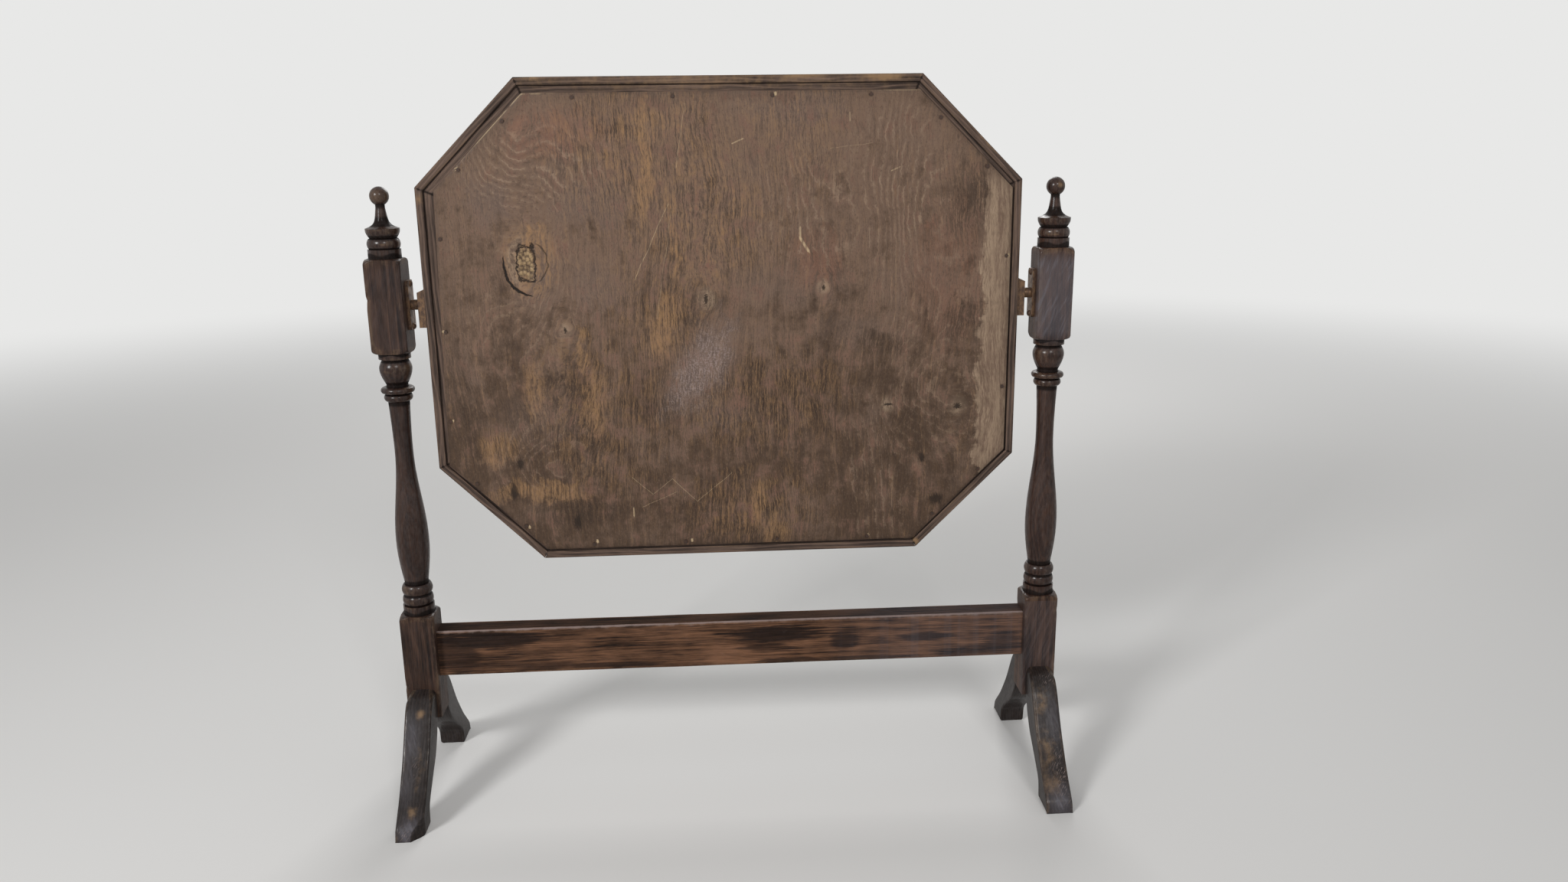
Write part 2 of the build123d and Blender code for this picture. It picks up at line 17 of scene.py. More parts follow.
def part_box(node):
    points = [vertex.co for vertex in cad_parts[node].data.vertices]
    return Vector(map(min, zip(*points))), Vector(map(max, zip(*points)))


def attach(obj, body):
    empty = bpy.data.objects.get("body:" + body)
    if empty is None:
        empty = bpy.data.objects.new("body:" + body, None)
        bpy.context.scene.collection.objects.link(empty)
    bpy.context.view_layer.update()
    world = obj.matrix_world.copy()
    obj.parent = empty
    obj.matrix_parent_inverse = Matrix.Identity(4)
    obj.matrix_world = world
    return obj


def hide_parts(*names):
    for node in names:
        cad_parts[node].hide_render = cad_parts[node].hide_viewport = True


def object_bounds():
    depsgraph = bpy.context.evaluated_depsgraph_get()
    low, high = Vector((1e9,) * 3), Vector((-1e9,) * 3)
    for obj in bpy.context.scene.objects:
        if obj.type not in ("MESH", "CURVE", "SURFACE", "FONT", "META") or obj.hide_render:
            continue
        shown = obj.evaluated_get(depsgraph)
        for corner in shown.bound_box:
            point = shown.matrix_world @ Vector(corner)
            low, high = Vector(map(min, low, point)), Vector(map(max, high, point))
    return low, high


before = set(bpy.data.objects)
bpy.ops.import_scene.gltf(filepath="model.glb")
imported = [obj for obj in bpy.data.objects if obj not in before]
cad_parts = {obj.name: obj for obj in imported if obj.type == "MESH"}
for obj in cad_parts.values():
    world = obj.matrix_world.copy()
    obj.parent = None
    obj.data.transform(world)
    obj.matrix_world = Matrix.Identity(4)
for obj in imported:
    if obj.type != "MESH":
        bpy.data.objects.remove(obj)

bl_info = {
    "name": "Oak swing mirror",
    "version": (1, 0, 0),
    "blender": (4, 5, 0),
    "location": "View3D > Sidebar > Swing Mirror",
    "description": "Dresses the frame of a dressing-table swing mirror in old oak, plywood, brass and glass",
    "category": "Object",
}

CAD_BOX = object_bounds()
MM = 0.001
PHOTO_WIDTH = 2048
SENSOR_WIDTH = 36
SIDES = ("left", "right")

# Points along and round the new pieces, and how many of them the board's hidden front skips
POST_COLUMNS = 120
RAIL_ROWS = 280
FOOT_ROWS = 110
BOARD_ROWS = 216
BOARD_COLUMNS = 270
FRONT_SKIP = 90

# Seeds of the uneven work and wear of each piece
POST_SEED = 4
RAIL_SEED = 11
FOOT_SEED = 21
CHIP_SEED = 31
FRAME_SEED = 41
BOARD_SEED = 51
TEAR_SEED = 61

# Turned work of a post from its foot to its ball, in millimetres: shape, height, first and last radius
Turning = namedtuple("Turning", "shape height start end")
TURNINGS = (
    Turning("straight", 95.5, 21.4, 21.4),
    Turning("round_in", 5.5, 21.4, 13.9),
    Turning("straight", 8, 13.9, 13.9),
    Turning("bead", 10, 11.9, 13.7),
    Turning("bead", 10, 11.9, 13.7),
    Turning("swell", 41, 10.2, 14.4),
    Turning("taper", 84, 14.4, 7.9),
    Turning("hollow", 46, 7.9, 9.2),
    Turning("bead", 7.5, 9.2, 12.2),
    Turning("bead", 5.5, 12, 14.4),
    Turning("straight", 2.5, 9.2, 9.2),
    Turning("swell", 14.3, 9.2, 13.9),
    Turning("hollow", 7.2, 13.9, 11.1),
    Turning("straight", 1.2, 11.1, 11.1),
    Turning("straight", 4.8, 13.7, 13.7),
    Turning("round_out", 5.5, 13.7, 21.4),
    Turning("straight", 71, 21.4, 21.4),
    Turning("round_in", 5.5, 21.4, 13.8),
    Turning("straight", 7.5, 13.8, 13.8),
    Turning("bead", 9, 12.2, 13.9),
    Turning("swell", 7.2, 11, 14.2),
    Turning("straight", 1.4, 14.2, 14.2),
    Turning("trumpet", 17.2, 14.2, 3.9),
    Turning("straight", 2.5, 3.9, 3.9),
    Turning("ball", 14.985, 3.9, 8),
)

# Rows of a post: steps, and the radii past which it is square and takes dents, in millimetres
TURNING_STEP = 0.55
BLOCK_STEP = 1.4
BLOCK_RADIUS = 20
DENT_RADIUS = 18

# Dents of a post: how many, least and greatest width in millimetres, half angle
POST_DENTS = 26
DENT_WIDTHS = (1.2, 4)
DENT_ANGLE = 0.12

# Heights of a post's square blocks in millimetres, and the fade at the upper one's ends
LOWER_BLOCK_TOP = 96
UPPER_BLOCK = (340, 424)
BLOCK_FADE = 12

# Outline of a foot as shares of its projection and height
FOOT_BACK_SHARES = (
    (0, 1), (0.15, 0.96), (0.27, 0.86), (0.48, 0.57), (0.7, 0.335), (0.87, 0.19), (0.96, 0.115),
    (0.993, 0.06), (1, 0),
)
FOOT_UNDER_SHARES = ((0, 0.721), (0.2, 0.47), (0.42, 0.31), (0.63, 0.15), (0.665, 0))

# Rows of a foot: in its head, where the even ones start and end, and the last ones at the toe
HEAD_ROWS = 14
EVEN_SHARES = (0.06, 0.985)
TOE_SHARES = (0.992, 0.996)

# Where the heel and the rounded head end, as shares of a foot's length, that length, and the knocked toe
HEEL_SHARE = 0.7
HEAD_SHARE = 0.11
FOOT_LENGTH = 0.14
CHIPPED_FOOT = "right_rear_foot"
CHIP = 11 * MM

# Lengths of the frame, clockwise seen from the glass side, from the top, and half the turn at each mitre
FRAME_LENGTHS = (
    "frame_top_rail", "frame_upper_right_corner", "frame_right_stile", "frame_lower_right_corner",
    "frame_bottom_rail", "frame_lower_left_corner", "frame_left_stile", "frame_upper_left_corner",
)
MITRE = pi / 8

# Section of the frame's moulding in millimetres: inward, depth from the back, rounding
SECTION = (
    (0, 0, 1.2), (6.5, 0, 0.8), (6.5, 2.2, 0.2), (21, 2.2, 0.2), (21, 14, 0.2), (28, 14, 0.2),
    (28, 20, 4), (0, 20, 3),
)
SECTION_STEP = 1.4

# Open knot of the back board: right and up from its middle in millimetres, seen from behind, and half sizes
OPEN_KNOT = (-170, 58)
OPEN_KNOT_HALF = (8.5, 15.5)

# Pin knots: right, up, size of the halo, half sizes of the slit
PIN_KNOTS = (
    (-140, -1, 9, 1.2, 2.5), (-17, 24, 12, 1.6, 4.5), (86, 32, 9, 1.4, 2.2), (144, -74, 9, 4, 1.2),
    (207, -77, 11, 3.2, 2.4),
)

# Stained knots: right, up, half sizes
STAIN_KNOTS = (
    (-194, -145, 3, 8), (189, -164, 6, 5), (175, -124, 3, 5), (-139, -176, 4, 7), (-187, -120, 3, 5),
)

# Scratches: right and up of each end, width
SCRATCHES = (
    (-47, 106, -78, 42, 0.5), (-44, 102, -60, 8, 0.35), (-30, 188, -39, 136, 0.35), (66, 84, 66, 75, 1.1),
    (66, 75, 73, 64, 1.6), (145, 131, 152, 134, 0.8), (9, 155, 18, 159, 0.8), (109, 179, 109, 173, 0.9),
    (-88, -165, -88, -172, 1.0), (-88, -136, -70, -152, 0.4), (-70, -152, -52, -138, 0.4),
    (-52, -138, -30, -160, 0.4), (-30, -160, 2, -134, 0.4), (-80, -164, -48, -150, 0.35),
    (92, 150, 128, 154, 0.3),
)

# Patches of colour on the board: right, up, half sizes, strength
BLOOMS = (
    (-202, 110, 22, 19, 0.9), (-112, 107, 27, 20, 0.8), (-106, 34, 20, 18, 0.8), (-1, -80, 26, 14, 0.7),
    (65, 183, 34, 11, 0.8), (60, 36, 40, 18, 0.5), (112, -6, 36, 12, 0.5), (-170, -80, 34, 24, 0.4),
)
GOLD_PATCHES = (
    (-67, 142, 7, 54, 1.0), (-91, 171, 3, 12, 0.8), (-45, 72, 3, 32, 0.8), (-56, 3, 12, 25, 0.95),
    (-127, -22, 4, 22, 0.8), (-119, -65, 14, 30, 0.7), (-172, -50, 12, 26, 0.6), (-207, -103, 18, 16, 0.8),
    (-173, -147, 38, 9, 0.95), (26, -161, 6, 21, 0.8), (44, -192, 13, 14, 0.7), (-160, 84, 9, 6, 0.9),
)
RED_PATCHES = (
    (-148, 163, 38, 20, 0.8), (76, 56, 20, 24, 0.7), (174, 83, 6, 9, 0.8), (196, 40, 26, 60, 0.5),
)
DARK_PATCHES = (
    (211, 107, 22, 32, 0.8), (212, 1, 17, 18, 0.8), (141, -17, 22, 11, 0.8), (-133, -168, 30, 14, 0.8),
    (40, -78, 34, 10, 0.5), (-60, -72, 28, 11, 0.5), (-228, -60, 14, 50, 0.6), (150, -110, 60, 30, 0.25),
)
COMBED = (
    (-70, 150, 70, 60, 1.0), (-20, 90, 70, 60, 0.9), (60, 160, 40, 50, 0.6), (30, -70, 70, 44, 0.8),
    (-110, -80, 60, 70, 0.7), (20, -170, 60, 34, 0.9), (-60, 10, 40, 50, 0.8),
)
WISPS = (
    (-166, 140, 60, 34, 0.8), (-170, 30, 50, 60, 0.4), (78, 100, 44, 50, 0.6), (180, 30, 40, 60, 0.4),
    (172, -70, 60, 50, 0.4), (130, -150, 30, 52, 0.5), (150, 120, 34, 69, 0.8), (-172, -110, 40, 40, 0.4),
)
RAW_EDGES = ((-190, 166, 22, 18, 1.0), (-160, 196, 18, 6, 0.9), (152, 198, 12, 6, 0.5))

# Growth lines of the board: steps for each millimetre to the right, and hills: right, up, half sizes, steps
GROWTH_RAMP = 1 / 11
GROWTH_HILLS = (
    (-166, 190, 62, 66, 8), (-170, 58, 44, 50, -5), (78, 178, 20, 62, 5), (180, 70, 30, 66, 4.5),
    (172, -58, 66, 44, 6), (-172, -125, 34, 26, 5), (-110, -40, 40, 60, 3), (20, -60, 60, 40, -3),
    (60, -160, 40, 50, 4), (-30, 60, 40, 70, 2.5),
)

# Whitish smear on the board in millimetres: right and up of its middle, slope in degrees, half sizes
SMEAR_PLACE = (-22, -36)
SMEAR_SLOPE = 55
SMEAR_HALF = (56, 24)

# Strip that never took the stain: where its left edge lies and where it ends upwards, in millimetres
STRIP_EDGE = (225, 229)
STRIP_TOP = (138, 110)

# Nails of the board: distance from its edge and apart, size of a rust stain, share with torn veneer
NAIL_INSET = 3.5 * MM
NAIL_PITCH = 95 * MM
RUST_REACH = 2.6 * MM
TORN_SHARE = 0.6

# Surface of the board: depth of the sunken knot, then depth and reach of a dimple and of the frayed edge
KNOT_DEPTH = 0.9 * MM
DIMPLE_DEPTH = 0.25 * MM
DIMPLE_REACH = 2.5 * MM
FRAY_DEPTH = 0.5 * MM
FRAY_REACH = 1.5 * MM

# Torn veneer: how far it strays from its nail, half sizes, strength
TEAR_STRAY = 2.2 * MM
TEAR_HALF = (1.6 * MM, 2.4 * MM)
TEAR_STRENGTH = 1.1

# Oak: width of a growth ring, and what old polish leaves of the stain's red, green and blue
RING_WIDTH = 2.6 * MM
POLISH_TINT = (1.2, 0.45, 0.25)

# Dark stains on the rail in millimetres: along, height from its middle, half sizes, strength
RAIL_BLOTCHES = (
    (226, 12, 50, 9, 1.0), (258, -2, 22, 22, 0.85), (200, -14, 60, 5, 0.6), (-40, 8, 46, 8, 1.0),
    (-104, 0, 14, 10, 0.9), (-30, -6, 26, 5, 0.7), (-179, 0, 27, 5, 1.0), (-256, -8, 20, 10, 0.8),
    (115, -17, 50, 2.5, 0.8), (186, -17, 40, 2.5, 0.7), (-51, -19, 36, 2.5, 0.7), (-124, -20, 40, 3, 0.7),
)

# Rubbed places on the posts, those on the ball, beads and cup being painted glints:
# height in millimetres, angle from the rear face, half sizes, strength
POST_RUBS_AND_GLINTS = {
    "left": (
        (478, 0.3, 3, 0.5, 0.8), (436, -0.2, 1.2, 0.5, 0.5), (448, 0.4, 1, 0.4, 0.5),
        (310, 0.2, 1.2, 0.5, 0.4), (90, 0.75, 8, 0.05, 0.6), (420, 0.7, 3, 0.1, 0.6),
    ),
    "right": (
        (437, 0.3, 1.2, 0.4, 0.5), (449, -0.3, 1, 0.5, 0.5), (328, -0.3, 2, 0.4, 0.4),
        (30, -0.75, 6, 0.05, 0.5),
    ),
}

# Pale film (dusty polish and painted sheen), stain lightness and slanting figure's strength on each post
POST_BLOOM_AND_SHEEN = {"left": 0.8, "right": 0.1}
POST_TONE = {"left": 1.0, "right": 0.76}
POST_SLANT = {"left": 0.8, "right": 0.0}

# Worn patches on the feet: along, across as shares, half sizes, strength
FOOT_WEAR = {
    "right_rear_foot": (
        (0.2, -0.2, 0.04, 0.35, 1.0), (0.52, -0.3, 0.14, 0.4, 0.5), (0.82, -0.1, 0.05, 0.4, 0.9),
    ),
    "left_rear_foot": (
        (0.27, 0.3, 0.11, 0.7, 0.6), (0.58, 0.3, 0.16, 0.7, 0.55), (0.83, 0.3, 0.09, 0.7, 0.75),
    ),
    "right_front_foot": ((0.3, 0.1, 0.1, 0.4, 0.7), (0.8, 0.1, 0.06, 0.4, 0.9)),
    "left_front_foot": ((0.25, -0.2, 0.08, 0.4, 0.8), (0.7, 0.2, 0.1, 0.4, 0.7)),
}

# Painted grey sheen, standing in for reflected light, and fine scratches on the feet, in the same terms
FOOT_SHEEN = {
    "right_rear_foot": (
        (0.34, 0.4, 0.14, 0.6, 0.7), (0.94, 0.0, 0.08, 0.8, 1.1), (0.66, 0.5, 0.12, 0.5, 0.5),
    ),
    "left_rear_foot": ((0.4, -0.4, 0.16, 0.6, 0.6), (0.93, -0.1, 0.12, 0.9, 1.1)),
    "right_front_foot": ((0.5, 0.0, 0.3, 0.8, 0.35),),
    "left_front_foot": ((0.5, 0.0, 0.3, 0.8, 0.35),),
}
FOOT_NICKS = {
    "right_rear_foot": ((0.55, 0.0, 0.08, 0.3, 0.4), (0.95, 0.2, 0.06, 0.5, 0.8)),
    "left_rear_foot": ((0.75, -0.5, 0.2, 0.6, 1.0), (0.12, -0.3, 0.05, 0.4, 0.9)),
    "right_front_foot": ((0.7, 0.3, 0.2, 0.5, 0.8),),
    "left_front_foot": ((0.6, -0.3, 0.2, 0.5, 0.8),),
}

# Worn patches of the frame, and a long pale band on the top rail that is partly painted highlight:
# along as a share, inward and half sizes in metres, strength
FRAME_WEAR_AND_HIGHLIGHT = {
    "frame_top_rail": (
        (0.5, 0.003, 0.7, 0.012, 0.55), (0.1, 0.002, 0.05, 0.003, 0.8), (0.3, 0.001, 0.04, 0.002, 0.7),
        (0.95, 0.001, 0.02, 0.002, 0.6),
    ),
    "frame_upper_left_corner": ((0.4, 0.001, 0.3, 0.002, 0.5),),
    "frame_lower_left_corner": ((0.03, 0.004, 0.03, 0.004, 1.1),),
    "frame_right_stile": ((0.04, 0.003, 0.02, 0.003, 0.8),),
}

# Floor: radii of its rings, and where it passes into the backdrop, in metres
FLOOR_RINGS = (0.4, 1, 2, 5, 12, 40)
FLOOR_COLUMNS = 64
FLOOR_FADE = (1.2, 4.0)

# Lamps: place and size in metres, power in watts, beam in degrees
Lamp = namedtuple("Lamp", "name place size power beam")
LAMPS = (
    Lamp("key", (1.7, 1.9, 1.5), 0.6, 12, 120),
    Lamp("fill", (-0.6, 2.3, 1.8), 0.5, 9, 180),
    Lamp("front", (-0.4, -2.2, 1.8), 1.2, 16, 180),
)


def srgb(red, green, blue):
    """Linear colour from display values of 0 to 255."""
    share = np.array((red, green, blue)) / 255
    linear = np.where(share <= 0.04045, share / 12.92, ((share + 0.055) / 1.055) ** 2.4)
    return tuple(float(value) for value in linear)


def dimmed(colour, share):
    """A colour with only a share of its light."""
    return tuple(share * part for part in colour)


def colour(name, words, *display):
    """Colour property whose default is given in display values."""
    return FloatVectorProperty(
        name=name, description=words, subtype="COLOR", size=3, min=0, max=1, default=srgb(*display)
    )


def length(name, words, millimetres):
    """Length property whose default is given in millimetres."""
    return FloatProperty(
        name=name, description=words, unit="LENGTH", subtype="DISTANCE", min=0, precision=5,
        default=millimetres * MM,
    )


class SwingMirrorSizes(bpy.types.PropertyGroup):
    """Small sizes of hand work and wear"""

    corner_ease: length("Corner ease", "Softness where the turning meets the square blocks", 0.35)
    wobble: length("Wobble", "Unevenness left by hand tools", 0.12)
    dent_depth: length("Dent depth", "Deepest knock in an edge", 0.9)
    rail_round: length("Rail edge", "Rounding of the rail's long edges", 1.4)
    foot_round: length("Foot edge", "Rounding of the feet's edges", 2.2)
    foot_head_round: length("Foot head", "Extra rounding at the top of a foot", 3.8)
    mitre_gap: length("Mitre gap", "Open joint between two lengths of the frame", 0.25)
    board_bow: length("Board bow", "How far the plywood has bellied out", 0.35)


class SwingMirrorColours(bpy.types.PropertyGroup):
    """Colours of the finishes"""

    post_dark: colour("Post stain", "Darkest stain of the posts", 33, 24, 20)
    post_warm: colour("Post grain", "Warm streaks in the posts", 92, 68, 55)
    rail_dark: colour("Rail stain", "Darkest stain of the rail", 36, 28, 25)
    rail_warm: colour("Rail grain", "Warm streaks in the rail", 128, 92, 69)
    foot_dark: colour("Foot stain", "Darkest stain of the feet", 27, 24, 23)
    foot_warm: colour("Foot grain", "Warm streaks in the feet", 56, 49, 45)
    frame_dark: colour("Frame stain", "Darkest stain of the frame", 60, 50, 45)
    frame_warm: colour("Frame grain", "Warm streaks in the frame", 113, 93, 81)
    worn: colour("Worn oak", "Oak where handling has taken off the stain", 146, 117, 86)
    # Pale grey of dusty old polish; also painted as sheen on the feet and the post blocks
    dust_and_sheen: colour("Dust", "Pale bloom on old polish", 101, 98, 104)
    ply_dark: colour("Plywood dark", "Dark stain of the back board", 74, 57, 45)
    ply_mid: colour("Plywood", "Usual colour of the back board", 115, 93, 78)
    ply_grey: colour("Plywood bloom", "Greyish bloom on the back board", 108, 91, 82)
    ply_red: colour("Plywood red", "Reddish patches of the back board", 124, 89, 74)
    ply_gold: colour("Plywood gold", "Golden streaks of the back board", 150, 116, 82)
    ply_bare: colour("Bare plywood", "Edge that never took the stain", 156, 134, 112)
    chip: colour("Torn plywood", "Fresh wood where the veneer is torn", 190, 166, 132)
    filler: colour("Filler", "Crumbled filler in the open knot", 164, 138, 103)
    smear: colour("Smear", "Dry whitish smear", 152, 134, 128)
    brass: colour("Brass", "Brass under its patina", 124, 96, 71)
    patina: colour("Patina", "Brown patina of the brass", 74, 55, 44)
    steel: colour("Steel", "Darkened wire and screws", 70, 64, 60)
    rust: colour("Rust", "Rust round nails and screws", 74, 44, 30)
    softwood: colour("Softwood", "Raw packing and dowels", 196, 160, 112)
    leather: colour("Leather", "Washer leather", 70, 46, 32)
    silver: colour("Silvering", "Reflection of the plate", 226, 230, 229)
    floor: colour("Floor", "Plain pale floor", 240, 239, 237)
    backdrop: colour("Backdrop", "Pale background", 232, 232, 231)


class SwingMirrorStage(bpy.types.PropertyGroup):
    """Camera and lamps"""

    camera_place: FloatVectorProperty(
        name="Camera", description="Place of the camera", subtype="TRANSLATION",
        default=(0.005545, 1.007126, 0.587502),
    )
    heading: FloatProperty(
        name="Heading", description="Turn of the view from -Y towards -X", subtype="ANGLE", default=0.055
    )
    dip: FloatProperty(name="Dip", description="View below the horizon", subtype="ANGLE", default=0.251)
    roll: FloatProperty(name="Roll", description="Turn about the view", subtype="ANGLE", default=0.013)
    focal_pixels: FloatProperty(
        name="Focal length", description="In pixels of an image 2048 wide", default=1496.413, min=1
    )
    lamp_level: FloatProperty(name="Lamps", description="Power of the lamps", default=1.4, min=0)
    world_level: FloatProperty(name="World", description="Light from all round", default=0.3, min=0)


# Meshes from grids of points


def grid_faces(rows, columns):
    """Quads between neighbouring rows of a grid whose last column joins its first."""
    row, column = np.meshgrid(np.arange(rows - 1), np.arange(columns), indexing="ij")
    beside = (column + 1) % columns
    here, above = row * columns, (row + 1) * columns
    corners = (here + column, here + beside, above + beside, above + column)
    return np.stack(corners, -1).reshape(-1, 4)


def signed_volume(points, faces):
    """Sum of the tetrahedra from the origin to each face, cut into triangles from its first corner."""
    total = 0
    for group in faces:
        corners = points[group]
        first = corners[:, :1]
        total += np.sum(first * np.cross(corners[:, 1:-1], corners[:, 2:]))
    return total


def skin(name, grid, body, node, slot, finish, sharp=35, **layers):
    """Object from a closed tube of points grid[row, column], in place of a CAD node.

    Columns run round the piece and join up. Each end row is closed by one flat face. Faces are
    turned outwards by the sign of the volume. Layers are values on the grid kept as attributes.
    """
    rows, columns, _ = grid.shape
    points = grid.reshape(-1, 3)
    ring = np.arange(columns)
    faces = [grid_faces(rows, columns), ring[None, ::-1], ring[None] + (rows - 1) * columns]
    if signed_volume(points - points.mean(0), faces) < 0:
        faces = [group[:, ::-1] for group in faces]
    corners = np.concatenate([group.ravel() for group in faces])
    counts = np.concatenate([np.full(len(group), group.shape[1]) for group in faces])
    mesh = bpy.data.meshes.new(name)
    mesh.vertices.add(len(points))
    mesh.vertices.foreach_set("co", points.astype(np.float32).ravel())
    mesh.loops.add(len(corners))
    mesh.loops.foreach_set("vertex_index", corners.astype(np.int32))
    mesh.polygons.add(len(counts))
    mesh.polygons.foreach_set("loop_start", (np.cumsum(counts) - counts).astype(np.int32))
    mesh.update(calc_edges=True)
    if mesh.validate():
        raise RuntimeError(f"{name} has faulty faces")
    for layer, values in layers.items():
        vector = values.ndim == 3
        attribute = mesh.attributes.new(layer, "FLOAT_VECTOR" if vector else "FLOAT", "POINT")
        attribute.data.foreach_set("vector" if vector else "value", values.astype(np.float32).ravel())
    mesh.shade_smooth()
    mesh.set_sharp_from_angle(angle=radians(sharp))
    mesh.materials.append(finish)
    made = bpy.data.objects.new(name, mesh)
    bpy.context.scene.collection.objects.link(made)
    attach(made, body)
    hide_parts(node)


def ripple(first, second, pitch, seed, waves=9):
    """Slow uneven swell: a sum of sines with seeded directions, wavelengths near pitch, between -1 and 1."""
    draw = np.random.default_rng(seed)
    total = 0
    for _ in range(waves):
        turn, phase = draw.uniform(0, 2 * pi, 2)
        stretch = draw.uniform(0.6, 1.8)
        total = total + np.sin((first * cos(turn) + second * sin(turn)) * 2 * pi / (pitch * stretch) + phase)
    return total / waves


def blurred(values, axis, reach, wrap=False):
    """Mean of a grid over neighbours within reach along one axis, taken twice."""
    for _ in range(2):
        pad = [(0, 0)] * values.ndim
        pad[axis] = (reach, reach)
        wide = np.pad(values, pad, mode="wrap" if wrap else "edge")
        count = values.shape[axis]
        values = sum(np.take(wide, np.arange(step, step + count), axis) for step in range(2 * reach + 1))
        values = values / (2 * reach + 1)
    return values


def smooth_curve(points, shares):
    """Points at the given shares of the length of a Catmull-Rom curve through given points."""
    knots = np.array(points, float)
    knots = np.vstack((2 * knots[0] - knots[1], knots, 2 * knots[-1] - knots[-2]))
    t = np.linspace(0, len(points) - 1, 80 * len(points))
    span = np.minimum(t.astype(int), len(points) - 2)
    f = (t - span)[:, None]
    a, b, c, d = (knots[span + step] for step in range(4))
    curve = b + f / 2 * (c - a + f * (2 * a - 5 * b + 4 * c - d + f * (3 * (b - c) + d - a)))
    walked = np.concatenate(([0], np.cumsum(np.linalg.norm(np.diff(curve, axis=0), axis=1))))
    return np.stack([np.interp(shares * walked[-1], walked, curve[:, k]) for k in range(curve.shape[1])], -1)


def rounded_box_section(flat_steps, corner_steps):
    """Unit rounded rectangle: its core in -1..1, outward directions, and 1 on its rounded corners.

    A point is core * (half size - radius) + outward * radius.
    """
    core, outward, crest = [], [], []
    flat = np.linspace(-1, 1, flat_steps)[1:-1]
    for quarter in range(4):
        side = quarter * pi / 2
        normal = np.array((cos(side), sin(side)))
        along = np.array((-sin(side), cos(side)))
        core.append(normal + flat[:, None] * along)
        outward.append(np.tile(normal, (len(flat), 1)))
        crest.append(np.zeros(len(flat)))
        angles = side + np.linspace(0, pi / 2, corner_steps)
        core.append(np.tile(np.sign(normal + along).round(), (corner_steps, 1)))
        outward.append(np.stack((np.cos(angles), np.sin(angles)), -1))
        crest.append(np.ones(corner_steps))
    return np.concatenate(core), np.concatenate(outward), np.concatenate(crest)


def rounded_outline(corners, step, arc_steps=5):
    """Closed outline through corners (x, y, radius), each rounded by its arc, with points a step apart.

    Also returns 1 on arcs that stand proud, -1 on arcs in a hollow and 0 on straight runs.
    """
    places = np.array([corner[:2] for corner in corners], float)
    share = np.linspace(0, 1, arc_steps)[:, None]
    arcs, bends = [], []
    for k, (_, _, radius) in enumerate(corners):
        here = places[k]
        before, after = places[k - 1] - here, places[(k + 1) % len(places)] - here
        before, after = before / np.linalg.norm(before), after / np.linalg.norm(after)
        bend = np.arccos(np.clip(before @ after, -1, 1))
        reach = radius / tan(bend / 2)
        middle = here + (before + after) / np.linalg.norm(before + after) * radius / sin(bend / 2)
        start, end = here + before * reach - middle, here + after * reach - middle
        chord = start * (1 - share) + end * share
        arcs.append(middle + chord / np.linalg.norm(chord, axis=1)[:, None] * radius)
        bends.append(np.sign(before[1] * after[0] - before[0] * after[1]))
    points, crest = [], []
    for k, arc in enumerate(arcs):
        run = arcs[(k + 1) % len(arcs)][0] - arc[-1]
        count = max(int(np.linalg.norm(run) / step), 1)
        points += [arc, arc[-1] + run * np.linspace(0, 1, count + 1)[1:-1, None]]
        crest += [np.full(arc_steps, bends[k]), np.zeros(count - 1)]
    return np.concatenate(points), np.concatenate(crest)


def spots(first, second, places):
    """Sum of soft round patches: each place is first, second, half size along each, strength."""
    total = np.zeros(np.broadcast(first, second).shape)
    for a, b, reach_a, reach_b, strength in places:
        total += strength * np.exp(-(((first - a) / reach_a) ** 2) - ((second - b) / reach_b) ** 2)
    return total


# Shader maths


class Wire:
    """A value or colour on its way through a node tree: arithmetic on it adds Math nodes."""

    def __init__(self, nodes, socket):
        self.nodes = nodes
        self.socket = socket

    def maths(self, operation, *values):
        """Math node with this wire as its first value."""
        return self.nodes.maths(operation, self, *values)

    def __add__(self, other):
        return self.maths("ADD", other)

    def __sub__(self, other):
        return self.maths("SUBTRACT", other)

    def __rsub__(self, other):
        return self.nodes.maths("SUBTRACT", other, self)

    def __mul__(self, other):
        return self.maths("MULTIPLY", other)

    def __truediv__(self, other):
        return self.maths("DIVIDE", other)

    def __rtruediv__(self, other):
        return self.nodes.maths("DIVIDE", other, self)

    def __pow__(self, other):
        return self.maths("POWER", other)

    def __rpow__(self, other):
        return self.nodes.maths("POWER", other, self)

    def __neg__(self):
        return self.maths("MULTIPLY", -1)

    def __abs__(self):
        return self.maths("ABSOLUTE")

    __radd__ = __add__
    __rmul__ = __mul__


class Nodes:
    """A node tree, and the one way in which nodes get into it."""

    def __init__(self, tree):
        self.tree = tree

    def node(self, kind, settings, inputs, output=0):
        """Adds a node: its settings first, then its sockets' values or links. Returns one output, if any."""
        made = self.tree.nodes.new(kind)
        for name, value in settings.items():
            setattr(made, name, value)
        for name, value in inputs.items():
            self.feed(made.inputs[name], value)
        return Wire(self, made.outputs[output]) if made.outputs else None

    def feed(self, socket, value):
        """Links a wire to a socket, or sets the socket's own value."""
        if isinstance(value, Wire):
            self.tree.links.new(value.socket, socket)
        elif hasattr(value, "__len__") and socket.type == "RGBA":
            socket.default_value = (*value, 1)
        else:
            socket.default_value = value

    def maths(self, operation, *values):
        """Math node."""
        return self.node("ShaderNodeMath", {"operation": operation}, dict(enumerate(values)))

    def greatest(self, wires):
        """Largest of several values."""
        return reduce(lambda first, second: self.maths("MAXIMUM", first, second), wires)


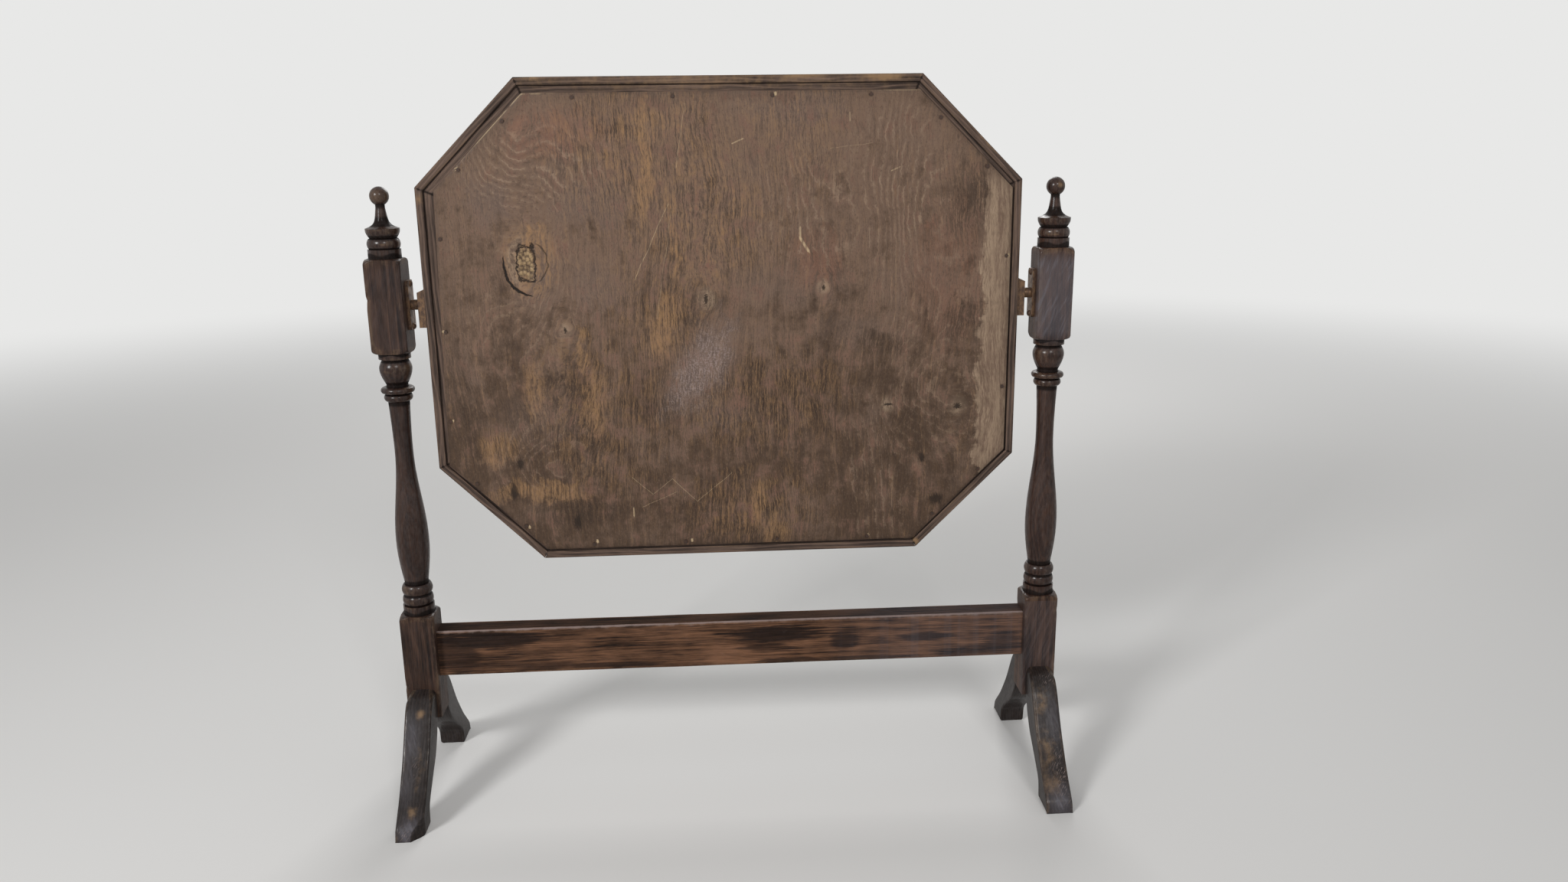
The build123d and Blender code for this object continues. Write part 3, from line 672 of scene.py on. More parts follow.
class Finish(Nodes):
    """A material and the nodes that make it."""

    def __init__(self, name):
        self.material = bpy.data.materials.new(name)
        self.material.use_nodes = True
        super().__init__(self.material.node_tree)
        self.shader = self.tree.nodes["Principled BSDF"]

    def axes(self, vector):
        """The three parts of a vector."""
        split = self.node("ShaderNodeSeparateXYZ", {}, {0: vector}).socket.node
        return [Wire(self, part) for part in split.outputs]

    def place(self):
        """Object coordinates, in metres."""
        return self.axes(self.node("ShaderNodeTexCoord", {}, {}, "Object"))

    def layer(self, name, output="Fac"):
        """A value that the mesh carries."""
        return self.node("ShaderNodeAttribute", {"attribute_name": name}, {}, output)

    def vector(self, x, y, z):
        """Vector from its three parts."""
        return self.node("ShaderNodeCombineXYZ", {}, {0: x, 1: y, 2: z})

    def noise(self, x, y, z, detail=2.0, roughness=0.5, warp=0.0):
        """Cloudy noise from 0 to 1 at a place already scaled to its pitch."""
        spot = {"Vector": self.vector(x, y, z), "Scale": 1.0}
        grade = {"Detail": detail, "Roughness": roughness, "Distortion": warp}
        return self.node("ShaderNodeTexNoise", {"noise_dimensions": "3D"}, spot | grade)

    def cells(self, x, y, z):
        """Distance to the nearest of scattered points at a place already scaled to its pitch."""
        spot = {"Vector": self.vector(x, y, z), "Scale": 1.0}
        return self.node("ShaderNodeTexVoronoi", {"feature": "F1"}, spot, "Distance")

    def dot(self, first, second):
        """Dot product of two vectors."""
        return self.node("ShaderNodeVectorMath", {"operation": "DOT_PRODUCT"}, {0: first, 1: second}, "Value")

    def oval(self, spot, place, halves):
        """Square of a vector's distance from a place, right and up each counted in its half size."""
        scale = (1 / halves[0], 1 / halves[1], 0)
        shift = (-place[0] / halves[0], -place[1] / halves[1], 0)
        off = self.node("ShaderNodeVectorMath", {"operation": "MULTIPLY_ADD"}, {0: spot, 1: scale, 2: shift})
        return self.dot(off, off)

    def ease(self, value, low, high):
        """Smooth step from 0 at low to 1 at high, which may be the lower of the two."""
        settings = {"interpolation_type": "SMOOTHSTEP", "clamp": True}
        return self.node("ShaderNodeMapRange", settings, {"Value": value, "From Min": low, "From Max": high})

    def mix(self, share, first, second):
        """Colour between two, by share."""
        settings = {"data_type": "RGBA", "clamp_factor": True}
        made = self.node("ShaderNodeMix", settings, {"Factor": share}).socket.node
        colours = [socket for socket in made.inputs if socket.type == "RGBA"]
        self.feed(colours[0], first)
        self.feed(colours[1], second)
        return Wire(self, next(socket for socket in made.outputs if socket.type == "RGBA"))

    def bump(self, height, distance):
        """Normal of a surface that stands out by height times distance."""
        return self.node("ShaderNodeBump", {}, {"Height": height, "Distance": distance, "Strength": 1.0})

    def done(self, **sockets):
        """Feeds the shader's sockets, named with underscores for spaces, and returns the material."""
        for name, value in sockets.items():
            self.feed(self.shader.inputs[name.replace("_", " ").title().replace("Ior", "IOR")], value)
        return self.material


def stained_oak(
    name, dark, warm, colours, pith, seed,
    blotches=(), haze=0.06, specular=0.1, figure=0.45, contrast=1.0, slant=0.0, rubbed_and_highlit=None,
):
    """Old dark oak on the mesh's grain layer (along, across, deep).

    Growth rings are the distance to a pith line beside the piece, over the ring's width, so a
    turned belly cuts them into faint nested ovals. Slow zones and long streaks go between dark and
    warm, pores are dark dashes along the grain and checks are long dark cracks. Hollows (negative
    relief) are darkened, partly as gathered stain and partly as painted shade. Stain wears off
    crests and worn patches, which on the posts' turnings and the rail's arris are partly painted
    highlights. Blotches are stains at along, height, half sizes and strength. Old polish, where the
    mesh's polish layer has it, deepens the wood under a coat. A pale grey film of dusty polish lies
    over all, and on the feet and post blocks it is also a painted sheen.
    """
    f = Finish(name)
    along, across, deep = f.axes(f.layer("grain", "Vector"))
    relief, bare_and_highlight, bloom_and_sheen, polish, scratched = (
        f.layer(part) for part in ("relief", "bare_and_highlight", "bloom_and_sheen", "polish", "scratched")
    )

    # Figure of the wood
    sway = f.noise(along * 8, across * 26, deep * 26 + seed) - 0.5
    off_across, off_deep = across - pith[0], deep - pith[1]
    distance = f.maths("SQRT", off_across * off_across + off_deep * off_deep)
    ring = f.maths("FRACT", distance / RING_WIDTH + sway * 5)
    ring_line = f.ease(ring, 0.3, 0.75) * f.ease(ring, 1.0, 0.85)
    streaks = f.noise(along * 10, across * 430, deep * 430 + seed, detail=4, roughness=0.72)
    fibres = f.noise(along * 42, across * 1200, deep * 1200 + seed, detail=2, roughness=0.7)
    zones = f.noise(along * 16 + seed, across * 50, deep * 50, detail=4, roughness=0.6)
    ray = f.noise((along - across * 2.4) * 24, (across + along * 0.4) * 300, seed, detail=2, warp=0.4)
    warmth = 0.5 + (zones + streaks - 1) * (2.4 * contrast) + (fibres - 0.5) * 1.6
    warmth = warmth + (ring_line - 0.4) * figure + (ray - 0.5) * slant
    if blotches:
        spot = f.vector(along / MM, deep / MM, 0)
        ragged = (streaks - 0.5) * 2.2 + (fibres - 0.5) * 2.2
        stain = f.greatest(
            f.ease(f.oval(spot, (a, b), (half_along, half_up)) + ragged, 1.5, 0.5) * strength
            for a, b, half_along, half_up, strength in blotches
        )
        warmth = warmth * (1 - stain * 0.9)
    shade = f.mix(warmth, dark, warm)
    pores = f.ease(fibres - ring_line * 0.1, 0.54, 0.66)
    shade = f.mix(pores * (0.55 * contrast), shade, dimmed(dark, 0.35))
    checks = f.ease(f.noise(along * 7, across * 620, deep * 620 + seed, detail=1), 0.62, 0.7)
    shade = f.mix(checks * (0.7 * contrast), shade, dimmed(dark, 0.3))
    shade = f.mix(polish * 0.55, shade, tuple(np.multiply(dark, POLISH_TINT)))

    # Wear, dirt, a dusty film, painted shade in hollows, painted sheen and painted highlights
    scuffs = f.noise(along * 190, across * 420, deep * 420 + seed, detail=3, roughness=0.65)
    crest = f.ease(relief, 0.3, 1.0) * f.ease(scuffs * 0.55 + zones * 0.75, 0.6, 0.82)
    shade = f.mix(crest * 0.35, shade, dimmed(colours.worn, 0.6))
    smudges = f.noise(along * 150, across * 150, deep * 150 + seed, detail=4, roughness=0.6)
    # Worn patches; on the posts' turnings and the rail's upper arris they are partly painted highlights
    stripped = f.ease(bare_and_highlight + (smudges - 0.5) * 1.3, 0.2, 1.2)
    shade = f.mix(stripped * 0.85, shade, rubbed_and_highlit or colours.worn)
    # Hollows darkened: stain gathered there, and painted shade in creases
    hollow = f.ease(relief, -0.15, -0.9)
    shade = f.mix(hollow * 0.8, shade, dimmed(dark, 0.25))
    # Pale grey film: dusty polish all over, and painted sheen on the feet and the post blocks
    dusty = f.ease(scuffs * 0.5 + zones * 0.5, 0.4, 0.75) * haze
    veil = dusty + bloom_and_sheen * (0.5 + f.ease(ray, 0.5, 0.66) * 0.35)
    shade = f.mix(veil, shade, colours.dust_and_sheen)
    nicks = f.noise((along + across * 0.7) * 160, (across - along * 0.7) * 1000, seed, detail=1)
    shade = f.mix(f.ease(nicks, 0.6, 0.68) * scratched * 0.8, shade, colours.smear)

    # Gloss and feel
    rough = 0.62 + (scuffs - 0.5) * 0.3 + hollow * 0.2 + pores * 0.1
    coat = polish * (0.5 + (scuffs - 0.5) * 1.4) * (1 - hollow * 0.8)
    height = fibres * 0.5 - pores * 0.6 + streaks * 0.5 + scuffs * 0.3
    return f.done(
        base_color=shade, roughness=rough, coat_weight=coat, coat_roughness=0.22,
        normal=f.bump(height, 0.2 * MM), specular_ior_level=specular,
    )


class Plywood(Finish):
    """Stained rotary-cut veneer seen from behind, in millimetres right and up from the board's middle.

    Fine strokes run upright and part round each knot, by a push that falls off with the square of
    the distance. Each method lays one kind of mark over a shade and returns the new shade.
    """

    def __init__(self, colours, middle_height):
        super().__init__("old_plywood")
        self.colours = colours
        self.deep_stain = dimmed(colours.ply_dark, 0.3)
        self.half_stain = dimmed(colours.ply_dark, 0.6)
        x, _, z = self.place()
        right, up = x * (-1 / MM), (z - middle_height) / MM
        self.right, self.up = right, up
        self.clouds = self.noise(right * 0.017, up * 0.014, 9.0, detail=5, roughness=0.62)
        self.mottle = self.noise(right * 0.06, up * 0.05, 14.0, detail=4, roughness=0.65)
        self.grit = self.noise(right * 0.7, up * 0.7, 3.0, detail=2, roughness=0.7)
        self.drift = self.noise(right * 0.011, up * 0.005, 2.0, detail=2)
        flow = right + (self.drift - 0.5) * 34 + (self.mottle - 0.5) * 5
        knots = [(*OPEN_KNOT, 42)] + [(a, b, 1.7 * size) for a, b, size, *_ in PIN_KNOTS]
        for a, b, reach in knots:
            off_right, off_up = right - a, (up - b) * 0.6
            away = off_right * off_right + off_up * off_up + reach**2
            flow = flow - off_right * (0.85 * reach**2) / away
        self.flow = flow
        self.fine = self.noise(flow * 1.3, up * 0.14, 1.0, detail=3, roughness=0.7)
        self.dashes = self.noise(flow * 0.5, up * 0.032, 12.0, detail=5, roughness=0.72)
        self.streaks = self.noise(flow * 0.16, up * 0.01, 5.0, detail=3, roughness=0.6)
        self.strokes = self.dashes + (self.fine - 0.5) * 0.7
        self.spot = self.vector(right, up, 0)
        self.loose_spot = self.vector(right + (self.clouds - 0.5) * 70, up + (self.mottle - 0.5) * 55, 0)

    def patches(self, places):
        """Greatest of several soft ragged ovals."""
        return self.greatest(
            self.ease(self.oval(self.loose_spot, (a, b), (half_right, half_up)), 2.0, 0.0) * strength
            for a, b, half_right, half_up, strength in places
        )

    def distance(self, place, halves):
        """Distance from a place, right and up each counted in its half size."""
        return self.maths("SQRT", self.oval(self.spot, place, halves))

    def stained(self):
        """Uneven stain with grey blooms and reddish and dark patches; paler towards the top as painted light
        from above.
        """
        colours, mottle, strokes = self.colours, self.mottle, self.strokes
        # The rise in tone towards the top is painted light falling from above
        tone = self.streaks * 0.4 + self.clouds * 0.6 + mottle * 0.85 + self.ease(self.up, -140, 180) * 0.26
        shade = self.mix(self.ease(tone, 0.82, 1.18), colours.ply_dark, colours.ply_mid)
        blooms = self.greatest((self.patches(BLOOMS), self.ease(self.clouds, 0.54, 0.72) * 0.5))
        shade = self.mix(blooms * 0.6, shade, colours.ply_grey)
        reds = self.greatest((self.patches(RED_PATCHES), self.ease(mottle, 0.53, 0.7) * 0.5))
        shade = self.mix(reds * self.ease(strokes, 0.32, 0.6) * 0.9, shade, colours.ply_red)
        darks = self.patches(DARK_PATCHES) * self.ease(strokes, 0.72, 0.4)
        return self.mix(darks * 0.8, shade, self.half_stain)

    def stroked(self, shade):
        """Dark, gold and red strokes of the grain, thickest in the combed places, and golden patches."""
        colours, mottle, strokes = self.colours, self.mottle, self.strokes
        loose = self.ease(self.streaks + (mottle - 0.5) * 0.8, 0.48, 0.68) * 0.5
        combed = self.greatest((self.patches(COMBED), loose))
        shade = self.mix(self.ease(strokes, 0.56, 0.3) * (0.16 + combed * 0.5), shade, self.deep_stain)
        stroke_shade = self.mix(self.ease(mottle, 0.46, 0.62), colours.ply_gold, colours.ply_red)
        shade = self.mix(self.ease(strokes, 0.42, 0.72) * (0.12 + combed * 0.66), shade, stroke_shade)
        golds = self.patches(GOLD_PATCHES) * (0.12 + self.ease(strokes, 0.36, 0.64) * 0.75)
        return self.mix(golds, shade, colours.ply_gold)

    def grown(self, shade):
        """Pale wisps of growth at the whole steps of a field, and specks along the grain.

        The field is an even ramp to the right, plus round hills where the cut ran through a
        swelling of the trunk, plus slow noise.
        """
        field = self.right * GROWTH_RAMP + (self.drift - 0.5) * 9 + (self.mottle - 0.5) * 2.4
        for a, b, half_right, half_up, height in GROWTH_HILLS:
            hill = self.maths("EXPONENT", -self.oval(self.spot, (a, b), (half_right, half_up)))
            field = field + hill * height
        growth = abs(self.maths("FRACT", field + (self.fine - 0.5) * 0.12) - 0.5)
        wisps = self.patches(WISPS)
        clear = wisps * self.ease(self.mottle * 0.6 + self.strokes * 0.4, 0.42, 0.58)
        shade = self.mix(self.ease(growth, 0.17, 0.0) * clear * 0.7, shade, self.colours.ply_bare)
        shade = self.mix(self.ease(growth, 0.25, 0.5) * wisps * 0.25, shade, self.half_stain)
        specks = self.noise(self.flow * 0.9, self.up * 0.4, 21.0, detail=2, roughness=0.6)
        shade = self.mix(self.ease(specks, 0.57, 0.68) * 0.3, shade, self.deep_stain)
        return self.mix(self.ease(specks, 0.42, 0.3) * 0.16, shade, self.colours.ply_bare)

    def smeared(self, shade):
        """A dry whitish smear that catches on the grain. Also returns where it lies."""
        right, up, slope = self.right - SMEAR_PLACE[0], self.up - SMEAR_PLACE[1], radians(SMEAR_SLOPE)
        along = right * cos(slope) + up * sin(slope)
        across = up * cos(slope) - right * sin(slope)
        shape = self.maths("SQRT", (along / SMEAR_HALF[0]) ** 2 + (across / SMEAR_HALF[1]) ** 2)
        smear = self.ease(shape + (self.clouds - 0.5) * 1.6 + (self.mottle - 0.5) * 1.8, 1.2, 0.2)
        smear = smear * (0.3 + self.ease(self.fine * 0.6 + self.grit * 0.4, 0.47, 0.58) * 0.7)
        return self.mix(smear * 0.8, shade, self.colours.smear), smear

    def stripped(self, shade):
        """The strip that never took the stain, with a ragged shore."""
        up, strokes = self.up, self.strokes
        shore = self.noise(up * 0.03, 3.0, 7.0, detail=5, roughness=0.65)
        reach = self.right + self.ease(up, 70, -120) * 3 - (shore - 0.5) * 40 + (strokes - 0.5) * 9
        ragged_up = up + (self.clouds - 0.5) * 60 + (self.fine - 0.5) * 20
        strip = self.ease(reach, *STRIP_EDGE) * self.ease(ragged_up, *STRIP_TOP)
        grain = self.ease(strokes * 0.7 + self.streaks * 0.5, 0.46, 0.72)
        bare_wood = self.mix(grain, self.colours.ply_mid, self.colours.ply_bare)
        return self.mix(strip * (0.85 + (self.mottle - 0.5) * 1.6), shade, bare_wood)

    def pin_knotted(self, shade):
        """Small knots, each a pale halo with a dark slit, and knots that are only a stain."""
        fine, mottle, grit = self.fine - 0.5, self.mottle - 0.5, self.grit - 0.5
        halo_edge, slit_edge, stain_edge = mottle * 14 + fine * 8, grit * 2, fine * 1.4 + mottle * 1.2
        clear = 0.2 + self.ease(self.strokes + grit * 0.4, 0.42, 0.58) * 0.5
        for a, b, size, slit_right, slit_up in PIN_KNOTS:
            halo = self.ease(self.distance((a, b), (1.4**-0.5, 1)) + halo_edge, size * 1.1, size * 0.3)
            shade = self.mix(halo * clear, shade, self.colours.ply_bare)
            slit = self.distance((a, b), (slit_right, slit_up)) + slit_edge
            shade = self.mix(self.ease(slit, 1.4, 0.6) * 0.9, shade, self.deep_stain)
        for a, b, half_right, half_up in STAIN_KNOTS:
            stain = self.distance((a, b), (half_right, half_up)) + stain_edge
            shade = self.mix(self.ease(stain, 1.35, 0.5) * 0.85, shade, self.deep_stain)
        return shade

    def open_knotted(self, shade):
        """The open knot: a squarish core of crumbled filler, cracked round, in an oval rind that gapes below.

        Also returns how far its surface stands out.
        """
        colours, fine, grit = self.colours, self.fine, self.grit - 0.5
        right, up = self.right - OPEN_KNOT[0], self.up - OPEN_KNOT[1]
        ragged = self.noise(self.right * 0.13, self.up * 0.13, 4.0, detail=3, roughness=0.6) - 0.5
        across_core, up_core = abs(right / OPEN_KNOT_HALF[0]), abs(up / OPEN_KNOT_HALF[1])
        core = (across_core**3 + up_core**3) ** (1 / 3) + ragged * 1.1
        rind = self.maths("SQRT", ((right - 4) / 24) ** 2 + (up / 29) ** 2) + ragged * 0.16
        glow = self.ease(rind, 1.3, 0.7) * self.ease(self.strokes + ragged * 0.4, 0.42, 0.6)
        shade = self.mix(glow * 0.5, shade, colours.ply_gold)
        pale = self.ease(rind, 0.95, 0.8) * self.ease(right, 2, -8) * self.ease(fine, 0.36, 0.6)
        shade = self.mix(pale * 0.5, shade, colours.ply_bare)
        crumbs = self.cells(self.right * 0.3, self.up * 0.27, 2.0)
        crumb_shade = self.mix(self.ease(crumbs + grit * 0.9, 0.85, 0.1), colours.ply_dark, colours.filler)
        shade = self.mix(self.ease(core, 0.86, 0.7), shade, crumb_shade)
        crack = self.ease(abs(core - 0.93) + grit * 0.1, 0.13, 0.03) * self.ease(fine, 0.25, 0.45)
        taper = self.ease(up, 9, -4) * self.ease(right, 7, -6)
        crescent = self.ease(abs(rind - 0.97) - taper * 0.026, 0.024, 0.0) * self.ease(taper, 0.0, 0.3)
        far_side = self.ease(abs(rind - 0.6), 0.035, 0.005) * self.ease(right, 7, 12) * 0.6
        cleft = self.greatest((crack * 0.9, crescent * self.ease(fine, 0.2, 0.42), far_side))
        shade = self.mix(cleft, shade, dimmed(colours.ply_dark, 0.16))
        lumps = self.ease(core, 0.85, 0.7) * self.ease(crumbs, 0.7, 0.2)
        return shade, lumps * 1.6 - cleft * 3

    def scratched(self, shade):
        """Scratches: the distance from each line, swayed a little, and broken along the grain."""
        broken = self.ease(self.dashes, 0.3, 0.6)
        for a, b, c, d, width in SCRATCHES:
            run = sqrt((c - a) ** 2 + (d - b) ** 2)
            way_right, way_up = (c - a) / run, (d - b) / run
            along = self.dot(self.spot, (way_right, way_up, 0)) - (a * way_right + b * way_up + run / 2)
            across = self.dot(self.spot, (-way_up, way_right, 0)) - (b * way_right - a * way_up)
            sway = (self.mottle - 0.5) * min(0.06 * run, 5)
            beyond = self.maths("MAXIMUM", abs(along) - run / 2, 0)
            mark = self.ease(abs(across + sway) + beyond * 0.5, width, width * 0.3)
            shade = self.mix(mark * broken * min(0.22 + width * 0.55, 0.9), shade, self.colours.chip)
        return shade

    def edged(self, shade):
        """Rust round the nails, torn veneer, raw edges, and darkening towards the edges, on the mesh's own
        layers.
        """
        edge, rust, torn = self.layer("edge"), self.layer("rust"), self.layer("torn")
        grit, chip = self.grit - 0.5, self.colours.chip
        rusted = self.ease(rust + grit * 0.7, 0.3, 0.95)
        shade = self.mix(rusted * 0.85, shade, dimmed(self.colours.rust, 0.25))
        shade = self.mix(self.ease(torn + grit * 0.5, 0.45, 0.8), shade, chip)
        shade = self.mix(self.ease(edge, 0.45, 0.95) * self.patches(RAW_EDGES), shade, chip)
        # Darker towards the board's edges
        edge_darkening = self.ease(edge + (self.mottle - 0.5) * 0.7, 0.1, 0.5)
        return self.mix(edge_darkening * 0.3, shade, self.deep_stain)


def old_plywood(colours, middle_height):
    """The board's stain, grain and marks, laid one over the other."""
    board = Plywood(colours, middle_height)
    shade = board.grown(board.stroked(board.stained()))
    shade, smear = board.smeared(shade)
    shade = board.pin_knotted(board.stripped(shade))
    shade, lumps = board.open_knotted(shade)
    shade = board.edged(board.scratched(shade))
    rough = 0.6 + (board.strokes - 0.5) * 0.5 + smear * 0.12 - board.ease(board.clouds, 0.4, 0.7) * 0.1
    relief = board.bump(board.strokes * 0.9 + lumps, 0.2 * MM)
    return board.done(base_color=shade, roughness=rough, normal=relief, specular_ior_level=0.22)


def aged_brass(colours):
    """Brass under a patchy brown patina, bright where it rubs, with fine random scratches."""
    f = Finish("aged_brass")
    x, y, z = (part / MM for part in f.place())
    patches = f.noise(x * 0.35, y * 0.35, z * 0.2, detail=4, roughness=0.6)
    grit = f.noise(x * 2.4, y * 2.4, z * 1.2, detail=3, roughness=0.7)
    tarnish = f.ease(patches + (grit - 0.5) * 0.4, 0.34, 0.66)
    shade = f.mix(tarnish, colours.brass, colours.patina)
    shade = f.mix(f.ease(grit, 0.6, 0.75) * 0.6, shade, dimmed(colours.patina, 0.35))
    return f.done(
        base_color=shade,
        metallic=0.6 - tarnish * 0.3,
        roughness=0.4 + tarnish * 0.2 + (grit - 0.5) * 0.2,
        normal=f.bump(grit + patches, 0.08 * MM),
    )


def dark_steel(colours):
    """Darkened wire and screws with freckles of rust."""
    f = Finish("dark_steel")
    x, y, z = (part / MM for part in f.place())
    freckles = f.noise(x * 1.6, y * 1.6, z * 1.6, detail=4, roughness=0.7)
    rusted = f.ease(freckles, 0.42, 0.62)
    return f.done(
        base_color=f.mix(rusted, colours.steel, colours.rust),
        metallic=0.9 - rusted * 0.7,
        roughness=0.4 + rusted * 0.35,
        normal=f.bump(freckles, 0.06 * MM),
    )


def silvered_glass(colours, low, high, cut):
    """Bevelled plate: clean in the middle, clouded and freckled where the silver has gone near its edge.

    The edge is the nearest of the octagon's sides: half width less |right|, half height less
    |up|, and the cut corners' sum less |right| + |up|, over root two.
    """
    f = Finish("silvered_glass")
    x, _, z = f.place()
    middle = (low.z + high.z) / 2
    right, up = abs(x), abs(z - middle)
    side = f.maths("MINIMUM", high.x - right, (high.z - low.z) / 2 - up)
    corner = (high.x + (high.z - low.z) / 2 - cut - right - up) / sqrt(2)
    inset = f.maths("MINIMUM", side, corner) / MM
    freckles = f.noise(x / MM * 0.5, z / MM * 0.5, 3.0, detail=5, roughness=0.75)
    lost = f.ease(freckles - inset * 0.011, 0.44, 0.56)
    haze = f.noise(x / MM * 0.03, z / MM * 0.05, 8.0, detail=4)
    shade = f.mix(lost * 0.85, colours.silver, dimmed(colours.patina, 0.25))
    return f.done(
        base_color=shade,
        metallic=1 - lost * 0.7,
        roughness=0.02 + lost * 0.4 + f.ease(haze, 0.5, 0.9) * 0.05,
        coat_weight=0.6,
    )


def raw_softwood(colours):
    """Unfinished deal of the dowels and packing blocks, with soft straight grain."""
    f = Finish("raw_softwood")
    x, y, z = (part / MM for part in f.place())
    grain = f.noise(x * 0.05, y * 0.9, z * 0.9, detail=3)
    shade = f.mix(f.ease(grain, 0.35, 0.7), dimmed(colours.softwood, 0.6), colours.softwood)
    return f.done(base_color=shade, roughness=0.75 + (grain - 0.5) * 0.2, normal=f.bump(grain, 0.1 * MM))


def washer_leather(colours):
    """Pressed leather with a fine pebble."""
    f = Finish("washer_leather")
    x, y, z = (part / MM for part in f.place())
    pebble = f.cells(x * 2, y * 2, z * 2)
    shade = f.mix(f.ease(pebble, 0.2, 0.6), colours.leather, dimmed(colours.leather, 0.5))
    return f.done(base_color=shade, roughness=0.6 + pebble * 0.2, normal=f.bump(pebble, 0.1 * MM))


def dress(finish, *nodes):
    """Gives CAD nodes a finish through their material slots."""
    for name in nodes:
        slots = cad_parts[name].material_slots
        if not slots:
            raise RuntimeError(f"{name} has no material slot")
        for slot in slots:
            slot.material = finish


# Pieces


def turning_rows():
    """Radius and height, in millimetres, up the turned work.

    Each shape is a formula in t, its share of its height. A bead is an arc of a circle, swell a
    quarter sine, taper a half cosine, hollow a quarter cosine, rounds are quarter ellipses, a
    trumpet is a taper and a seventh power, and the ball an arc that stops just short of its pole.
    """
    radii, heights, base = [], [], 0
    for shape, height, start, end in TURNINGS:
        square = shape == "straight" and start > BLOCK_RADIUS
        count = int(height / BLOCK_STEP) if square else int(max(height / TURNING_STEP, 7))
        t = np.linspace(0, 1, count)
        rise = height * t
        if shape == "bead":
            crown = end - start
            circle = (crown**2 + (height / 2) ** 2) / (2 * crown)
            radius = end - circle + np.sqrt(circle**2 - (rise - height / 2) ** 2)
        elif shape == "ball":
            neck = np.arcsin(start / end)
            angle = np.linspace(neck, pi - 0.02, count * 2)
            radius = end * np.sin(angle)
            rise = end * (cos(neck) - np.cos(angle))
        else:
            share = {
                "straight": t,
                "swell": np.sin(pi / 2 * t),
                "taper": (1 - np.cos(pi * t)) / 2,
                "hollow": 1 - np.cos(pi / 2 * t),
                "round_in": 1 - np.sqrt(1 - t**2),
                "round_out": np.sqrt(1 - (1 - t) ** 2),
                "trumpet": 1 - 0.25 * (1 - t) - 0.75 * (1 - t) ** 7,
            }[shape]
            radius = start + (end - start) * share
        radii.append(radius)
        heights.append(base + rise)
        base += height
    return np.concatenate(radii), np.concatenate(heights)


def off_angle(angle, middle):
    """Angle from a middle one, between -pi and pi."""
    return np.angle(np.exp(1j * (angle - middle)))


def turned_post(side, sizes, seed):
    """Grid of a post's points and its layers.

    At angle a the square blank reaches h / max(|cos a|, |sin a|). The surface takes the smaller
    of that and the turning's radius r, eased together as -k log(exp(-r/k) + exp(-s/k)), less
    seeded dents along the corners. A pale film, partly dusty polish and partly painted sheen, lies
    on the rear faces of the blocks, mostly of the upper one. Some worn patches on the ball, beads
    and cup are painted glints.
    """
    low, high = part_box(f"{side}_post")
    radius, height = turning_rows()
    half = (high.x - low.x) / 2 / MM
    ease = sizes.corner_ease / MM
    angle = np.arange(POST_COLUMNS) * 2 * pi / POST_COLUMNS
    square = half / np.maximum(abs(np.cos(angle)), abs(np.sin(angle)))
    rows, around = np.broadcast_arrays(radius[:, None], square[None])
    reach = -ease * np.logaddexp(-rows / ease, -around / ease)
    z, a = np.broadcast_arrays(height[:, None], angle[None])
    proud = reach - blurred(reach, 0, 7)
    corner = (reach - blurred(reach, 1, 4, wrap=True)) * (radius > BLOCK_RADIUS)[:, None]
    relief = np.clip(proud / 0.45, -1, 1) + np.clip(corner / 1.1, 0, 1)
    draw = np.random.default_rng(seed)
    for _ in range(POST_DENTS):
        where = draw.uniform(0, height[-1])
        turn = draw.integers(0, 4) * pi / 2 + pi / 4 + draw.normal(0, 0.08)
        deep = draw.uniform(0.2, 1) * sizes.dent_depth / MM
        wide = draw.uniform(*DENT_WIDTHS)
        dent = np.exp(-(((z - where) / wide) ** 2) - (off_angle(a, turn) / DENT_ANGLE) ** 2)
        dent = dent * (radius > DENT_RADIUS)[:, None]
        reach = reach - deep * dent
        relief = relief + 0.6 * dent
    reach = reach + sizes.wobble / MM * ripple(z, a * 14, 60, seed)
    x, y = reach * np.cos(a), reach * np.sin(a)
    middle = (low + high) / 2
    grid = np.stack((x * MM + middle.x, y * MM + middle.y, z * MM + low.z), -1)
    grid[..., :2] = np.clip(grid[..., :2], (low.x, low.y), (high.x, high.y))
    bottom, top = UPPER_BLOCK
    upper = np.clip((z - bottom) / BLOCK_FADE, 0, 1) * np.clip((top - z) / BLOCK_FADE, 0, 1)
    blocks = np.maximum(upper, 0.3 * (z < LOWER_BLOCK_TOP))
    layers = {
        "grain": np.stack((z * MM, x * MM, y * MM), -1),
        "relief": np.clip(relief, -1, 1),
        "bare_and_highlight": spots(z, off_angle(a, pi / 2), POST_RUBS_AND_GLINTS[side]),
        "bloom_and_sheen": POST_BLOOM_AND_SHEEN[side] * blocks * np.clip(np.sin(a) * 3 - 1, 0, 1),
        "polish": np.clip((around - rows) / 0.8, 0.3, 1),
    }
    return grid, layers


class SWING_OT_posts(bpy.types.Operator):
    """Turn both posts from their square blanks"""

    bl_idname = "swing_mirror.posts"
    bl_label = "Posts"

    def execute(self, context):
        sizes, colours = context.scene.swing_sizes, context.scene.swing_colours
        for k, side in enumerate(SIDES):
            node, seed = f"{side}_post", POST_SEED + k
            grid, layers = turned_post(side, sizes, seed)
            dark, warm = (dimmed(stain, POST_TONE[side]) for stain in (colours.post_dark, colours.post_warm))
            finish = stained_oak(
                f"{node}_oak", dark, warm, colours, (0.006 * (k + 1), -0.024), 3.0 * seed,
                figure=0.3, contrast=0.75, slant=POST_SLANT[side],
            )
            skin(f"{node}_turned", grid, "stand", node, "dark_oak", finish, sharp=50, **layers)
        return {"FINISHED"}


